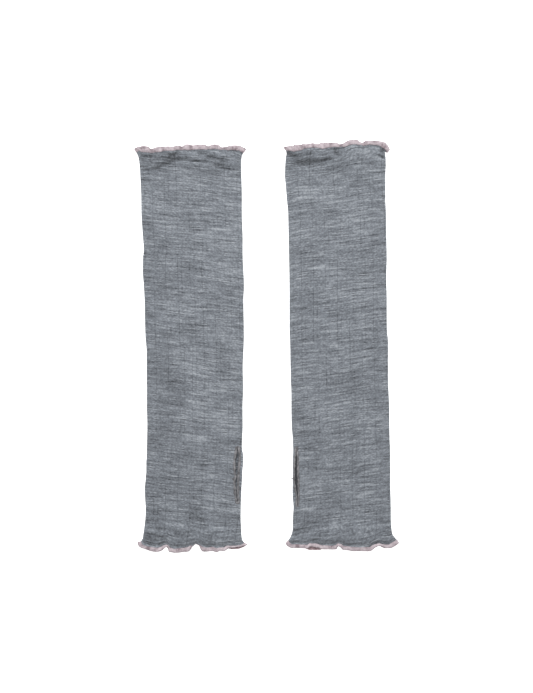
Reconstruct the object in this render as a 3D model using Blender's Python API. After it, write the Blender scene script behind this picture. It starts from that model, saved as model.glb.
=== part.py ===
"""Pair of knitted wrist warmers, laid flat side by side.

Each warmer is a seamless knitted tube with a slit for the thumb near its inner fold. A ruffled
overlocked hem finishes each end of the tube, and an overlocked edging goes round the slit.
+X runs across the pair, +Y from the hand ends to the forearm ends, and +Z up from the surface
that the pair lies on. Every size below is in millimetres, and MM turns it into metres.
"""

import math
from collections import namedtuple

import bmesh
import bpy
import numpy as np

MM = 0.001

# The knitted cloth, folded flat.
WALL = 1.0
LAYER_GAP = 0.4
FLAT_THICKNESS = 2 * WALL + LAYER_GAP
FOLD_RADIUS = FLAT_THICKNESS / 2
FOLD_QUARTER = FOLD_RADIUS * math.pi / 2

# The hems and the edging, each a flattened round band that starts a seam gap past the cloth.
SEAM_GAP = 0.35
HEM_WIDTH = 3.2
HEM_THICKNESS = 1.7
EDGING_WIDTH = 1.6
EDGING_THICKNESS = 1.2
BAND_SIDES = 6

# The mouths: the rows of the tube where the cloth starts to open, and where it ends.
RUFFLE_START = 140.0
MOUTH = 157.0
CORNER_FLARE = 0.75
CORNER_SHARPNESS = 6

# Rows and columns of the tube's faces, apart from those round the slit.
BODY_ROWS = (-148.0, -140.0, -68.0, -40.0, 0.0, 40.0, 80.0, 115.0, 140.0, 148.0)
MOUTH_ROWS = (-MOUTH, -153.0, 153.0, MOUTH)
FRONT_COLUMNS = 26
BACK_COLUMNS = 14
NEAR_LIP_COLUMN = 2

# Ends of the slit: how far past the last stitch each row lies, and half the hole's width there,
# both as shares of the hole's end radius.
SLIT_END_ROWS = ((0.0, 1.0), (0.6, 0.8), (0.97, 0.3))
EDGING_END_POINTS = 5
CLOSED_OPENING = 0.2

Fold = namedtuple("Fold", "along left right")
Ruffle = namedtuple("Ruffle", "across reach height")
Slit = namedtuple("Slit", "top length from_fold_top from_fold_bottom openings")
Opening = namedtuple("Opening", "down width")
Finish = namedtuple("Finish", "colour roughness")

# Linear colours of the cloth and of the two sewing threads.
FINISHES = {
    "grey_melange_knit": Finish((0.226, 0.247, 0.272), 0.92),
    "pink_hem_thread": Finish((0.456, 0.392, 0.418), 0.8),
    "mauve_edging_thread": Finish((0.205, 0.195, 0.205), 0.85),
}

# Where the two folded sides of each tube lie, from the hand end to the forearm end.
FOLDS = {
    "left": (
        Fold(-157.0, -101.0, -18.6),
        Fold(-153.0, -98.4, -20.2),
        Fold(-145.0, -97.6, -20.8),
        Fold(-113.0, -96.9, -19.9),
        Fold(-93.0, -96.1, -19.3),
        Fold(-80.0, -95.7, -19.5),
        Fold(-30.0, -95.8, -18.6),
        Fold(10.0, -96.6, -18.1),
        Fold(63.0, -98.9, -18.1),
        Fold(119.0, -100.3, -19.6),
        Fold(149.0, -101.8, -20.8),
        Fold(157.0, -103.4, -19.0),
    ),
    "right": (
        Fold(-157.0, 17.4, 103.6),
        Fold(-151.5, 20.2, 101.6),
        Fold(-146.0, 21.4, 100.0),
        Fold(-95.0, 21.1, 99.3),
        Fold(-62.0, 20.4, 98.6),
        Fold(-25.0, 19.4, 97.4),
        Fold(10.0, 18.6, 97.4),
        Fold(50.0, 18.7, 96.3),
        Fold(82.0, 18.0, 96.2),
        Fold(114.0, 16.7, 95.8),
        Fold(140.0, 15.1, 95.2),
        Fold(152.0, 15.3, 95.2),
        Fold(157.0, 15.9, 95.8),
    ),
}

# The ruffles of each hem, crest by crest from left to right: where the hem's outer edge lies,
# measured along the warmer from its middle, and how high the middle of the band runs.
FRONT_RUFFLES = {
    ("left", "forearm"): (
        Ruffle(-104.0, 159.4, 2.6),
        Ruffle(-97.5, 161.2, 3.2),
        Ruffle(-92.4, 158.9, 4.6),
        Ruffle(-87.0, 160.3, 3.6),
        Ruffle(-76.0, 159.9, 3.1),
        Ruffle(-70.5, 160.5, 3.4),
        Ruffle(-67.0, 160.6, 4.0),
        Ruffle(-61.0, 161.6, 3.0),
        Ruffle(-52.0, 162.0, 3.2),
        Ruffle(-46.5, 159.7, 4.4),
        Ruffle(-40.5, 162.3, 3.0),
        Ruffle(-33.5, 159.1, 4.2),
        Ruffle(-25.5, 161.3, 3.1),
        Ruffle(-17.0, 158.8, 2.6),
    ),
    ("left", "hand"): (
        Ruffle(-103.0, 157.8, 2.6),
        Ruffle(-98.0, 162.2, 3.0),
        Ruffle(-89.0, 164.1, 3.2),
        Ruffle(-84.5, 163.6, 3.4),
        Ruffle(-79.5, 161.8, 4.6),
        Ruffle(-75.5, 164.3, 3.4),
        Ruffle(-70.0, 164.8, 3.2),
        Ruffle(-62.5, 163.8, 3.6),
        Ruffle(-56.5, 156.4, 5.0),
        Ruffle(-51.0, 163.8, 3.4),
        Ruffle(-41.0, 163.8, 3.1),
        Ruffle(-33.5, 163.0, 3.3),
        Ruffle(-24.0, 160.6, 4.2),
        Ruffle(-16.5, 159.4, 2.7),
    ),
    ("right", "forearm"): (
        Ruffle(14.2, 160.6, 2.6),
        Ruffle(21.0, 161.4, 3.8),
        Ruffle(29.0, 161.9, 3.2),
        Ruffle(37.0, 162.4, 3.0),
        Ruffle(41.5, 162.6, 4.2),
        Ruffle(51.0, 163.6, 3.2),
        Ruffle(56.5, 162.8, 3.4),
        Ruffle(61.0, 161.6, 4.4),
        Ruffle(67.0, 164.8, 3.2),
        Ruffle(73.0, 165.0, 3.4),
        Ruffle(77.5, 163.3, 4.8),
        Ruffle(84.0, 164.9, 3.2),
        Ruffle(92.0, 163.5, 3.4),
        Ruffle(98.6, 158.2, 2.8),
    ),
    ("right", "hand"): (
        Ruffle(15.4, 158.2, 2.6),
        Ruffle(21.0, 161.2, 3.0),
        Ruffle(31.0, 161.6, 3.2),
        Ruffle(38.0, 160.8, 4.4),
        Ruffle(49.0, 162.8, 3.2),
        Ruffle(54.0, 162.4, 3.4),
        Ruffle(58.0, 160.9, 4.6),
        Ruffle(66.0, 163.4, 3.2),
        Ruffle(80.0, 163.9, 3.1),
        Ruffle(85.0, 162.8, 3.5),
        Ruffle(89.5, 159.5, 4.8),
        Ruffle(96.0, 161.4, 3.2),
        Ruffle(104.8, 158.9, 2.7),
    ),
}
BACK_RUFFLES = {
    ("left", "forearm"): (
        Ruffle(-104.0, 159.2, 1.6),
        Ruffle(-98.0, 159.8, 0.9),
        Ruffle(-91.0, 157.6, 1.0),
        Ruffle(-80.0, 158.8, 1.1),
        Ruffle(-66.0, 158.6, 0.9),
        Ruffle(-50.0, 159.0, 1.2),
        Ruffle(-34.0, 158.2, 0.9),
        Ruffle(-17.0, 158.6, 1.5),
    ),
    ("left", "hand"): (
        Ruffle(-103.0, 157.6, 1.6),
        Ruffle(-92.0, 161.6, 0.9),
        Ruffle(-79.5, 158.8, 1.2),
        Ruffle(-68.0, 162.6, 0.9),
        Ruffle(-56.5, 156.2, 1.1),
        Ruffle(-42.0, 162.0, 0.9),
        Ruffle(-24.0, 162.3, 0.9),
        Ruffle(-16.5, 159.3, 1.5),
    ),
    ("right", "forearm"): (
        Ruffle(14.2, 160.4, 1.6),
        Ruffle(26.0, 159.4, 0.9),
        Ruffle(42.0, 160.2, 1.2),
        Ruffle(56.0, 159.2, 0.9),
        Ruffle(70.0, 161.8, 1.1),
        Ruffle(84.0, 161.8, 0.9),
        Ruffle(98.6, 158.0, 1.6),
    ),
    ("right", "hand"): (
        Ruffle(15.4, 158.0, 1.6),
        Ruffle(26.0, 159.6, 0.9),
        Ruffle(38.5, 163.0, 0.9),
        Ruffle(48.0, 160.6, 1.1),
        Ruffle(58.0, 158.4, 0.9),
        Ruffle(74.0, 161.4, 1.2),
        Ruffle(90.0, 158.4, 0.9),
        Ruffle(104.8, 158.7, 1.5),
    ),
}

# The slit for the thumb, and how far its overlocked lips stand apart down its length.
SLITS = {
    "left": Slit(
        top=-80.5,
        length=45.5,
        from_fold_top=4.4,
        from_fold_bottom=4.4,
        openings=(
            Opening(0.0, CLOSED_OPENING),
            Opening(12.0, 1.9),
            Opening(20.0, 1.5),
            Opening(26.0, CLOSED_OPENING),
            Opening(33.0, 0.8),
            Opening(45.5, CLOSED_OPENING),
        ),
    ),
    "right": Slit(
        top=-82.5,
        length=45.0,
        from_fold_top=2.9,
        from_fold_bottom=3.5,
        openings=(
            Opening(0.0, CLOSED_OPENING),
            Opening(8.0, 1.1),
            Opening(20.0, 1.3),
            Opening(32.0, 0.9),
            Opening(45.0, CLOSED_OPENING),
        ),
    ),
}
INNER_FOLD = {"left": "right", "right": "left"}


def smooth_step(share):
    """Eases from 0 to 1 with no corner at either end."""
    share = np.clip(share, 0.0, 1.0)
    return share * share * (3 - 2 * share)


def smooth_curve(places, knots, values):
    """A cubic through the knots, level at each crest or notch and never past it."""
    knots = np.asarray(knots, float)
    values = np.asarray(values, float)
    rise = np.diff(values) / np.diff(knots)
    slopes = np.zeros(len(knots))
    same_way = rise[:-1] * rise[1:] > 0
    mean = 2 * rise[:-1] * rise[1:] / np.where(same_way, rise[:-1] + rise[1:], 1.0)
    slopes[1:-1] = np.where(same_way, mean, 0.0)
    slopes[0] = rise[0]
    slopes[-1] = rise[-1]
    places = np.clip(places, knots[0], knots[-1])
    cell = np.clip(np.searchsorted(knots, places) - 1, 0, len(knots) - 2)
    run = knots[cell + 1] - knots[cell]
    t = (places - knots[cell]) / run
    start = (1 + 2 * t) * (1 - t) ** 2 * values[cell] + t * (1 - t) ** 2 * run * slopes[cell]
    end = t * t * (3 - 2 * t) * values[cell + 1] + t * t * (t - 1) * run * slopes[cell + 1]
    return start + end


def table_curve(places, rows, column):
    """Reads one named column of a table as a smooth curve of its first column."""
    return smooth_curve(places, [row[0] for row in rows], [getattr(row, column) for row in rows])


def flat_oval(arc, width):
    """Goes round a flat oval from the middle of its left fold, over the front and back under.

    Gives the distance across, the share of the height, and the outward normal across and up.
    """
    half = width - 2 * FOLD_RADIUS + 2 * FOLD_QUARTER
    arc = np.mod(arc, 2 * half)
    in_front = arc <= half
    from_left = np.where(in_front, arc, 2 * half - arc)
    left_turn = np.clip(from_left / FOLD_RADIUS, 0, math.pi / 2)
    right_turn = np.clip((half - from_left) / FOLD_RADIUS, 0, math.pi / 2)
    on_flat = np.clip(from_left - FOLD_QUARTER, 0, width - 2 * FOLD_RADIUS)
    across = FOLD_RADIUS * (1 - np.cos(left_turn)) + on_flat + FOLD_RADIUS * np.cos(right_turn)
    up = np.minimum(np.sin(left_turn), np.sin(right_turn)) * np.where(in_front, 1, -1)
    normal_across = np.cos(right_turn) - np.cos(left_turn)
    return across, (1 + up) / 2, normal_across, up


def half_girth(side, along):
    """Half of the way round the tube at a place along it."""
    width = table_curve(along, FOLDS[side], "right") - table_curve(along, FOLDS[side], "left")
    return width - 2 * FOLD_RADIUS + 2 * FOLD_QUARTER


def ruffle_curve(ruffles, column, side, across, along):
    """Reads a column of the hand end's or the forearm end's ruffles, whichever end is nearer."""
    near = table_curve(across, ruffles[side, "hand"], column)
    far = table_curve(across, ruffles[side, "forearm"], column)
    return np.where(along > 0, far, near)


def cloth_point(side, arc, along, depth=0.0):
    """The place on the tube at a distance round it, along it and below its outer face.

    The tube is a flat oval on the surface. Towards each mouth the two layers part, follow the
    heights of their hems, and stretch or shrink to meet them.
    """
    arc, along, depth = np.broadcast_arrays(np.asarray(arc, float), along, depth)
    left = table_curve(along, FOLDS[side], "left")
    right = table_curve(along, FOLDS[side], "right")
    from_left, share, normal_across, normal_up = flat_oval(arc, right - left)
    across = left + from_left
    front_reach = ruffle_curve(FRONT_RUFFLES, "reach", side, across, along)
    front_height = ruffle_curve(FRONT_RUFFLES, "height", side, across, along)
    back_reach = ruffle_curve(BACK_RUFFLES, "reach", side, across, along)
    back_height = ruffle_curve(BACK_RUFFLES, "height", side, across, along)
    opened = smooth_step((abs(along) - RUFFLE_START) / (MOUTH - RUFFLE_START))
    front = FLAT_THICKNESS + opened * (front_height + WALL / 2 - FLAT_THICKNESS)
    back = opened * (back_height - WALL / 2)
    end = back_reach + share * (front_reach - back_reach) - HEM_WIDTH - SEAM_GAP
    x = across - depth * normal_across
    y = along + np.sign(along) * opened * (end - MOUTH)
    z = back + share * (front - back) - depth * normal_up
    return np.stack([x, y, z], axis=-1)


def slit_centre(side, along):
    """The distance round the tube to the middle of the slit."""
    slit = SLITS[side]
    down = np.clip((slit.top - along) / slit.length, 0, 1)
    inward = slit.from_fold_top + down * (slit.from_fold_bottom - slit.from_fold_top)
    from_fold = inward - FOLD_RADIUS + FOLD_QUARTER
    if INNER_FOLD[side] == "left":
        return from_fold
    return half_girth(side, along) - from_fold


def slit_half_hole(side, along):
    """Half the width of the hole that the cloth leaves for the lips and their opening."""
    slit = SLITS[side]
    opening = table_curve(slit.top - along, slit.openings, "width")
    return opening / 2 + EDGING_WIDTH + SEAM_GAP


def slit_rows(side):
    """The rows of the tube round its slit, as places along it and half widths of the hole."""
    slit = SLITS[side]
    end_radius = CLOSED_OPENING / 2 + EDGING_WIDTH + SEAM_GAP
    bottom = slit.top - slit.length
    rows = [
        (bottom - past * end_radius, width * end_radius) for past, width in SLIT_END_ROWS[::-1]
    ]
    for opening in slit.openings[-2:0:-1]:
        along = slit.top - opening.down
        rows.append((along, float(slit_half_hole(side, along))))
    rows += [(slit.top + past * end_radius, width * end_radius) for past, width in SLIT_END_ROWS]
    return rows


def tube_grid(side):
    """Distances round and along the tube for every vertex, and the cells that the slit leaves.

    Each row starts at the inner fold, crosses the front past the two lips of the slit, turns
    round the outer fold and comes back under. A tube whose inner fold is the right one has its
    rows turned about, so that both tubes go round the same way.
    """
    hole = slit_rows(side)
    plain = float(slit_half_hole(side, SLITS[side].top))
    rows = sorted([(along, plain) for along in BODY_ROWS + MOUTH_ROWS] + hole)
    along = np.array([row[0] for row in rows])
    half_hole = np.array([row[1] for row in rows])
    half = half_girth(side, along)
    turned = INNER_FOLD[side] == "right"
    centre = half - slit_centre(side, along) if turned else slit_centre(side, along)
    near_lip = centre - half_hole
    far_lip = centre + half_hole
    outer_tangent = half - FOLD_QUARTER
    flat = half - 2 * FOLD_QUARTER
    arcs = [0 * half, near_lip / 2, near_lip, far_lip]
    for share in np.linspace(0, 1, FRONT_COLUMNS + 2)[1:]:
        arcs.append(far_lip + share * (outer_tangent - far_lip))
    arcs += [half - FOLD_QUARTER / 2, half, half + FOLD_QUARTER / 2]
    for share in np.linspace(0, 1, BACK_COLUMNS + 2):
        arcs.append(half + FOLD_QUARTER + share * flat)
    arcs.append(2 * half - FOLD_QUARTER / 2)
    arcs = np.stack(arcs, axis=1)
    slit_column = NEAR_LIP_COLUMN
    if turned:
        arcs = (half[:, None] - arcs)[:, ::-1]
        slit_column = arcs.shape[1] - 2 - NEAR_LIP_COLUMN
    first = int(np.searchsorted(along, hole[0][0]))
    cut = {(row, slit_column) for row in range(first, first + len(hole) - 1)}
    return arcs, along, cut


def material(name):
    """A plain Principled material of one of the named finishes."""
    finish = FINISHES[name]
    made = bpy.data.materials.get(name) or bpy.data.materials.new(name)
    made.use_nodes = True
    shader = made.node_tree.nodes["Principled BSDF"]
    shader.inputs["Base Color"].default_value = (*finish.colour, 1.0)
    shader.inputs["Roughness"].default_value = finish.roughness
    shader.inputs["Metallic"].default_value = 0.0
    made.diffuse_color = (*finish.colour, 1.0)
    return made


def lattice_object(name, points, finish, cut=()):
    """Makes a closed object from rings of points in millimetres, the last joined to the first.

    cut lists the cells, by ring and column, that are left open. They make two like holes, one
    in each face of a wall, and the wall is closed again between the edges of the two.
    """
    bm = bmesh.new()
    rings = [[bm.verts.new(point) for point in row * MM] for row in points]
    columns = len(rings[0])
    for row, (ring, following) in enumerate(zip(rings, rings[1:] + rings[:1])):
        for column in range(columns):
            if (row, column) in cut:
                continue
            beside = (column + 1) % columns
            bm.faces.new((ring[column], following[column], following[beside], ring[beside]))
    if cut:
        bmesh.ops.bridge_loops(bm, edges=[edge for edge in bm.edges if edge.is_boundary])
    bmesh.ops.recalc_face_normals(bm, faces=bm.faces)
    mesh = bpy.data.meshes.new(name)
    bm.to_mesh(mesh)
    bm.free()
    mesh.shade_smooth()
    mesh.set_sharp_from_angle(angle=math.radians(50))
    mesh.materials.append(material(finish))
    made = bpy.data.objects.new(name, mesh)
    bpy.context.scene.collection.objects.link(made)
    return made


def make_tube(side):
    """The knitted tube: rings up its outer face, over the forearm mouth and down its inner face."""
    arcs, along, cut = tube_grid(side)
    outer = cloth_point(side, arcs, along[:, None])
    inner = cloth_point(side, arcs, along[:, None], WALL)
    last = 2 * len(along) - 2
    through = cut | {(last - row, column) for row, column in cut}
    rings = np.concatenate([outer, inner[::-1]])
    lattice_object(f"{side}_tube", rings, "grey_melange_knit", through)


def band_sections(middle, outward, normal, width, thickness):
    """Rings of points round a flattened band, from its middle line and its two directions."""
    turns = np.arange(BAND_SIDES) * 2 * math.pi / BAND_SIDES
    wide = np.cos(turns)[None, :, None] * outward[:, None, :] * width / 2
    thick = np.sin(turns)[None, :, None] * normal[:, None, :] * thickness / 2
    return middle[:, None, :] + wide + thick


def make_hem(side, end):
    """The ruffled hem of one mouth, just past the last ring of the cloth."""
    arcs, along, _ = tube_grid(side)
    last_row, way = (-1, 1.0) if end == "forearm" else (0, -1.0)
    outer = cloth_point(side, arcs[last_row], along[last_row])
    ring = cloth_point(side, arcs[last_row], along[last_row], WALL / 2)
    normal = (outer - ring) / (WALL / 2)
    across = ring[:, 0]
    from_middle = 2 * (across - across.min()) / np.ptp(across) - 1
    flare = CORNER_FLARE * np.sign(from_middle) * abs(from_middle) ** CORNER_SHARPNESS
    outward = np.stack([flare, np.full(len(flare), way), 0 * flare], axis=-1)
    outward /= np.linalg.norm(outward, axis=1, keepdims=True)
    middle = ring + outward * (SEAM_GAP + HEM_WIDTH / 2)
    sections = band_sections(middle, outward, normal, HEM_WIDTH, HEM_THICKNESS)
    lattice_object(f"{side}_{end}_hem", sections, "pink_hem_thread")


def make_edging(side):
    """The overlocked edging: down one lip of the slit, round its end, and up the other."""
    slit = SLITS[side]
    lip = np.array([slit.top - opening.down for opening in slit.openings[::-1]])
    apart = slit_half_hole(side, lip) - SEAM_GAP - EDGING_WIDTH / 2
    turn = np.linspace(0, math.pi, EDGING_END_POINTS + 2)[1:-1]
    radius = (CLOSED_OPENING + EDGING_WIDTH) / 2
    offset = np.concatenate([apart, radius * np.cos(turn), -apart[::-1], -radius * np.cos(turn)])
    top_turn = lip[-1] + radius * np.sin(turn)
    bottom_turn = lip[0] - radius * np.sin(turn)
    along = np.concatenate([lip, top_turn, lip[::-1], bottom_turn])
    ahead = np.roll(offset, -1) - np.roll(offset, 1)
    ahead_along = np.roll(along, -1) - np.roll(along, 1)
    length = np.hypot(ahead, ahead_along)
    turns = np.arange(BAND_SIDES) * 2 * math.pi / BAND_SIDES
    wide = np.cos(turns)[None, :] * EDGING_WIDTH / 2
    deep = WALL / 2 - np.sin(turns)[None, :] * EDGING_THICKNESS / 2
    round_tube = offset[:, None] + wide * (ahead_along / length)[:, None]
    down_tube = along[:, None] - wide * (ahead / length)[:, None]
    centre = slit_centre(side, down_tube)
    sections = cloth_point(side, centre + round_tube, down_tube, deep)
    lattice_object(f"{side}_thumb_edging", sections, "mauve_edging_thread")


def clear_scene():
    """Removes whatever objects the scene holds."""
    for old in list(bpy.data.objects):
        bpy.data.objects.remove(old, do_unlink=True)


def main():
    """Builds the two warmers, each with its tube, its two hems and its thumb edging."""
    clear_scene()
    for side in ("left", "right"):
        make_tube(side)
        make_hem(side, "forearm")
        make_hem(side, "hand")
        make_edging(side)


main()
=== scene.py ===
"""Looks of a pair of knitted wrist warmers, laid flat side by side.

Each warmer is one seamless tube of fine grey melange knit. A ruffled overlocked hem of pale pink
thread finishes each mouth, and a mauve overlocked edging goes round the thumb slit beside the
inner fold. Lengths in the tables are millimetres, and MM turns them into metres. Places across a
warmer are measured from the left side of its tube's box, places along it from the frame's origin.
"""

import logging
import math
from collections.abc import Iterable
from dataclasses import dataclass, field, replace
from enum import Enum
from typing import NamedTuple, TypeVar

import bpy
import numpy as np
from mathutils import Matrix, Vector
from numpy.typing import NDArray


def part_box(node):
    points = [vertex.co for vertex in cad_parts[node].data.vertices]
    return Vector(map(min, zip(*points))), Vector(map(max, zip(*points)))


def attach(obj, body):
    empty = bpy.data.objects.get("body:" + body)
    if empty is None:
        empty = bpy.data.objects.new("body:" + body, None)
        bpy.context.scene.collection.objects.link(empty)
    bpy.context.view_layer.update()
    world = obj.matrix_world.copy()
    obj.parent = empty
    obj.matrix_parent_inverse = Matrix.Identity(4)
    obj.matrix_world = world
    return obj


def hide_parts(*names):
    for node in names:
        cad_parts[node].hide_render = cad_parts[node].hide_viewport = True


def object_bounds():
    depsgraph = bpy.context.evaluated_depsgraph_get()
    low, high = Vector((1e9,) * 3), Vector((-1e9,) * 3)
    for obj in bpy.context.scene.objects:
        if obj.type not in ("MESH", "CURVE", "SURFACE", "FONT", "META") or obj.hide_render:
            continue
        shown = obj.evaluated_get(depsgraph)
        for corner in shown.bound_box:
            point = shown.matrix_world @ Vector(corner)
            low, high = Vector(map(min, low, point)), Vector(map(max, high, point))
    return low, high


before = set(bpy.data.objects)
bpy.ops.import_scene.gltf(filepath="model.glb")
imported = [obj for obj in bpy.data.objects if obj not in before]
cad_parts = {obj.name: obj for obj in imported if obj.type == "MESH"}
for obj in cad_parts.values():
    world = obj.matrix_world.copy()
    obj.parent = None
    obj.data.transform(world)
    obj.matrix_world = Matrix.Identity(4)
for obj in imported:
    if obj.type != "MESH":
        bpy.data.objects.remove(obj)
CAD_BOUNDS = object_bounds()

Array = NDArray[np.float64]
Colour = tuple[float, float, float]
Ramp = tuple[tuple[float, Colour], ...]
Row = TypeVar("Row", bound=tuple)

LOG = logging.getLogger("wrist_warmers")
MM = 0.001
WHITE = (1.0, 1.0, 1.0, 1.0)
OCTAVE_SHARE = 0.6  # how strong each finer octave of a noise is beside the one before it
MIX_COLOURS = (6, 7)  # the numbers of a Mix node's two colour sockets
PHASE_STEP = 0.618  # how far the phases of an uneven wave's sines lie apart, in turns per seed
TOUCH = 1e-6  # rings nearer than this to the hole's tip are at it, in millimetres


class Side(Enum):
    """Which of the two warmers."""

    LEFT = "left"
    RIGHT = "right"


class End(Enum):
    """Which mouth of a tube: the one at the hand or the one at the forearm."""

    HAND = "hand"
    FOREARM = "forearm"


class Layer(Enum):
    """Which layer of a flattened tube: the upper one or the one that it rests on."""

    FRONT = "front"
    BACK = "back"


class Slot(Enum):
    """Names for the pair's three kinds of material."""

    KNIT = "grey_melange_knit"
    HEM = "pink_hem_thread"
    EDGING = "mauve_edging_thread"


class Fold(NamedTuple):
    """Where the two folded sides of a tube lie at one place along it."""

    along: float
    left: float
    right: float


class Ruffle(NamedTuple):
    """A crest or notch of a hem: its outer edge and height, its tip up in degrees, its fullness."""

    across: float
    reach: float
    height: float
    tip: float = 0.0
    fullness: float = 1.0


class Opening(NamedTuple):
    """How far apart the lips stand at one place down the slit, and how far in from the fold."""

    down: float
    width: float
    from_fold: float


class Crease(NamedTuple):
    """A soft trough or ridge: its middle, heading in degrees, length, width and rise.

    One that leans stands higher on its far side than on its near side. Its shade is painted
    shade: the knit's tone is taken down by that much along it.
    """

    across: float
    along: float
    heading: float
    length: float
    width: float
    rise: float
    lean: float = 0.0
    shade: float = 0.0


class Swell(NamedTuple):
    """A broad soft rise or hollow of the cloth: its middle, its two reaches and its rise."""

    across: float
    along: float
    wide: float
    tall: float
    rise: float


class Slub(NamedTuple):
    """A lighter or darker stretch of the yarn: its middle, length, width and strength."""

    around: float
    along: float
    length: float
    width: float
    strength: float


class Streak(NamedTuple):
    """Stretches of one tone along each course: their length, strength and place in the noise."""

    length: float
    strength: float
    offset: float


class ThreadLoop(NamedTuple):
    """A stray loop of the edging: its root, round from the slit's middle and down, and its run."""

    around: float
    down: float
    length: float
    width: float
    heading: float


class Slit(NamedTuple):
    """The thumb slit: its upper end, its length, and its openings in order down it."""

    top: float
    length: float
    openings: tuple[Opening, ...]
    loops: tuple[ThreadLoop, ...] = ()


Ruffles = dict[tuple[Layer, End], tuple[Ruffle, ...]]


def table(kind: type[Row], *rows: tuple[float, ...]) -> tuple[Row, ...]:
    """Makes a table of one kind of row from its numbers, in the order of the kind's fields."""
    return tuple(kind(*row) for row in rows)


def smooth_step(share: Array) -> Array:
    """Eases from 0 to 1 with no corner at either end: 3 t squared less 2 t cubed.

    Args:
        share: Places between the start, 0, and the end, 1.

    Returns:
        The eased shares.
    """
    share = np.clip(share, 0.0, 1.0)
    return share * share * (3 - 2 * share)


def between(start: Array | float, end: Array, share: Array) -> Array:
    """The values at a share of the way from the start to the end."""
    return start + share * (end - start)


def smooth_curve(places: Array, knots: Array, values: Array) -> Array:
    """Reads a cubic through the knots that is level at each crest and never passes it.

    The slope at a knot is the harmonic mean of the slopes beside it, or 0 at a crest.

    Args:
        places: Where the curve is read.
        knots: The places of the knots, in rising order.
        values: The curve's values there.

    Returns:
        The curve's values at the places.
    """
    knots = np.asarray(knots, float)
    values = np.asarray(values, float)
    rise = np.diff(values) / np.diff(knots)
    slopes = np.zeros(len(knots))
    same_way = rise[:-1] * rise[1:] > 0
    mean = 2 * rise[:-1] * rise[1:] / np.where(same_way, rise[:-1] + rise[1:], 1.0)
    slopes[1:-1] = np.where(same_way, mean, 0.0)
    slopes[[0, -1]] = rise[[0, -1]]
    places = np.clip(places, knots[0], knots[-1])
    cell = np.clip(np.searchsorted(knots, places) - 1, 0, len(knots) - 2)
    run = knots[cell + 1] - knots[cell]
    t = (places - knots[cell]) / run
    start = (1 + 2 * t) * (1 - t) ** 2 * values[cell] + t * (1 - t) ** 2 * run * slopes[cell]
    end = t * t * (3 - 2 * t) * values[cell + 1] + t * t * (t - 1) * run * slopes[cell + 1]
    return start + end


def table_curve(places: Array, rows: tuple[NamedTuple, ...], column: str) -> Array:
    """Reads one named column of a table as a smooth curve of its first column.

    Args:
        places: Where the curve is read.
        rows: The table.
        column: The name of the column.

    Returns:
        The column's values at the places.
    """
    return smooth_curve(places, [row[0] for row in rows], [getattr(row, column) for row in rows])


def uneven(places: Array, periods: Iterable[float], seed: float) -> Array:
    """A smooth uneven wave between -1 and 1: the mean of sines of unlike periods and phases.

    Args:
        places: Where the wave is read.
        periods: The sines' periods.
        seed: Sets the phases, so that two waves differ.

    Returns:
        The wave's values.
    """
    waves = [
        np.sin(2 * math.pi * (places / period + seed * (turn + 1) * PHASE_STEP))
        for turn, period in enumerate(periods)
    ]
    return sum(waves) / len(waves)


@dataclass(frozen=True)
class Formula:
    """A number that a material's nodes work out. Sums and products of it add Math nodes."""

    bench: "NodeBench"
    socket: bpy.types.NodeSocket

    def then(self, operation: str, other: object = 0.0) -> "Formula":
        """Carries the number through a Math node of this operation."""
        return self.bench.math(operation, self, other)

    def __add__(self, other: object) -> "Formula":
        """Adds a number or a formula."""
        return self.then("ADD", other)

    def __sub__(self, other: object) -> "Formula":
        """Takes off a number or a formula."""
        return self.then("SUBTRACT", other)

    def __mul__(self, other: object) -> "Formula":
        """Multiplies by a number or a formula."""
        return self.then("MULTIPLY", other)

    def __truediv__(self, other: object) -> "Formula":
        """Divides by a number or a formula."""
        return self.then("DIVIDE", other)


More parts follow.
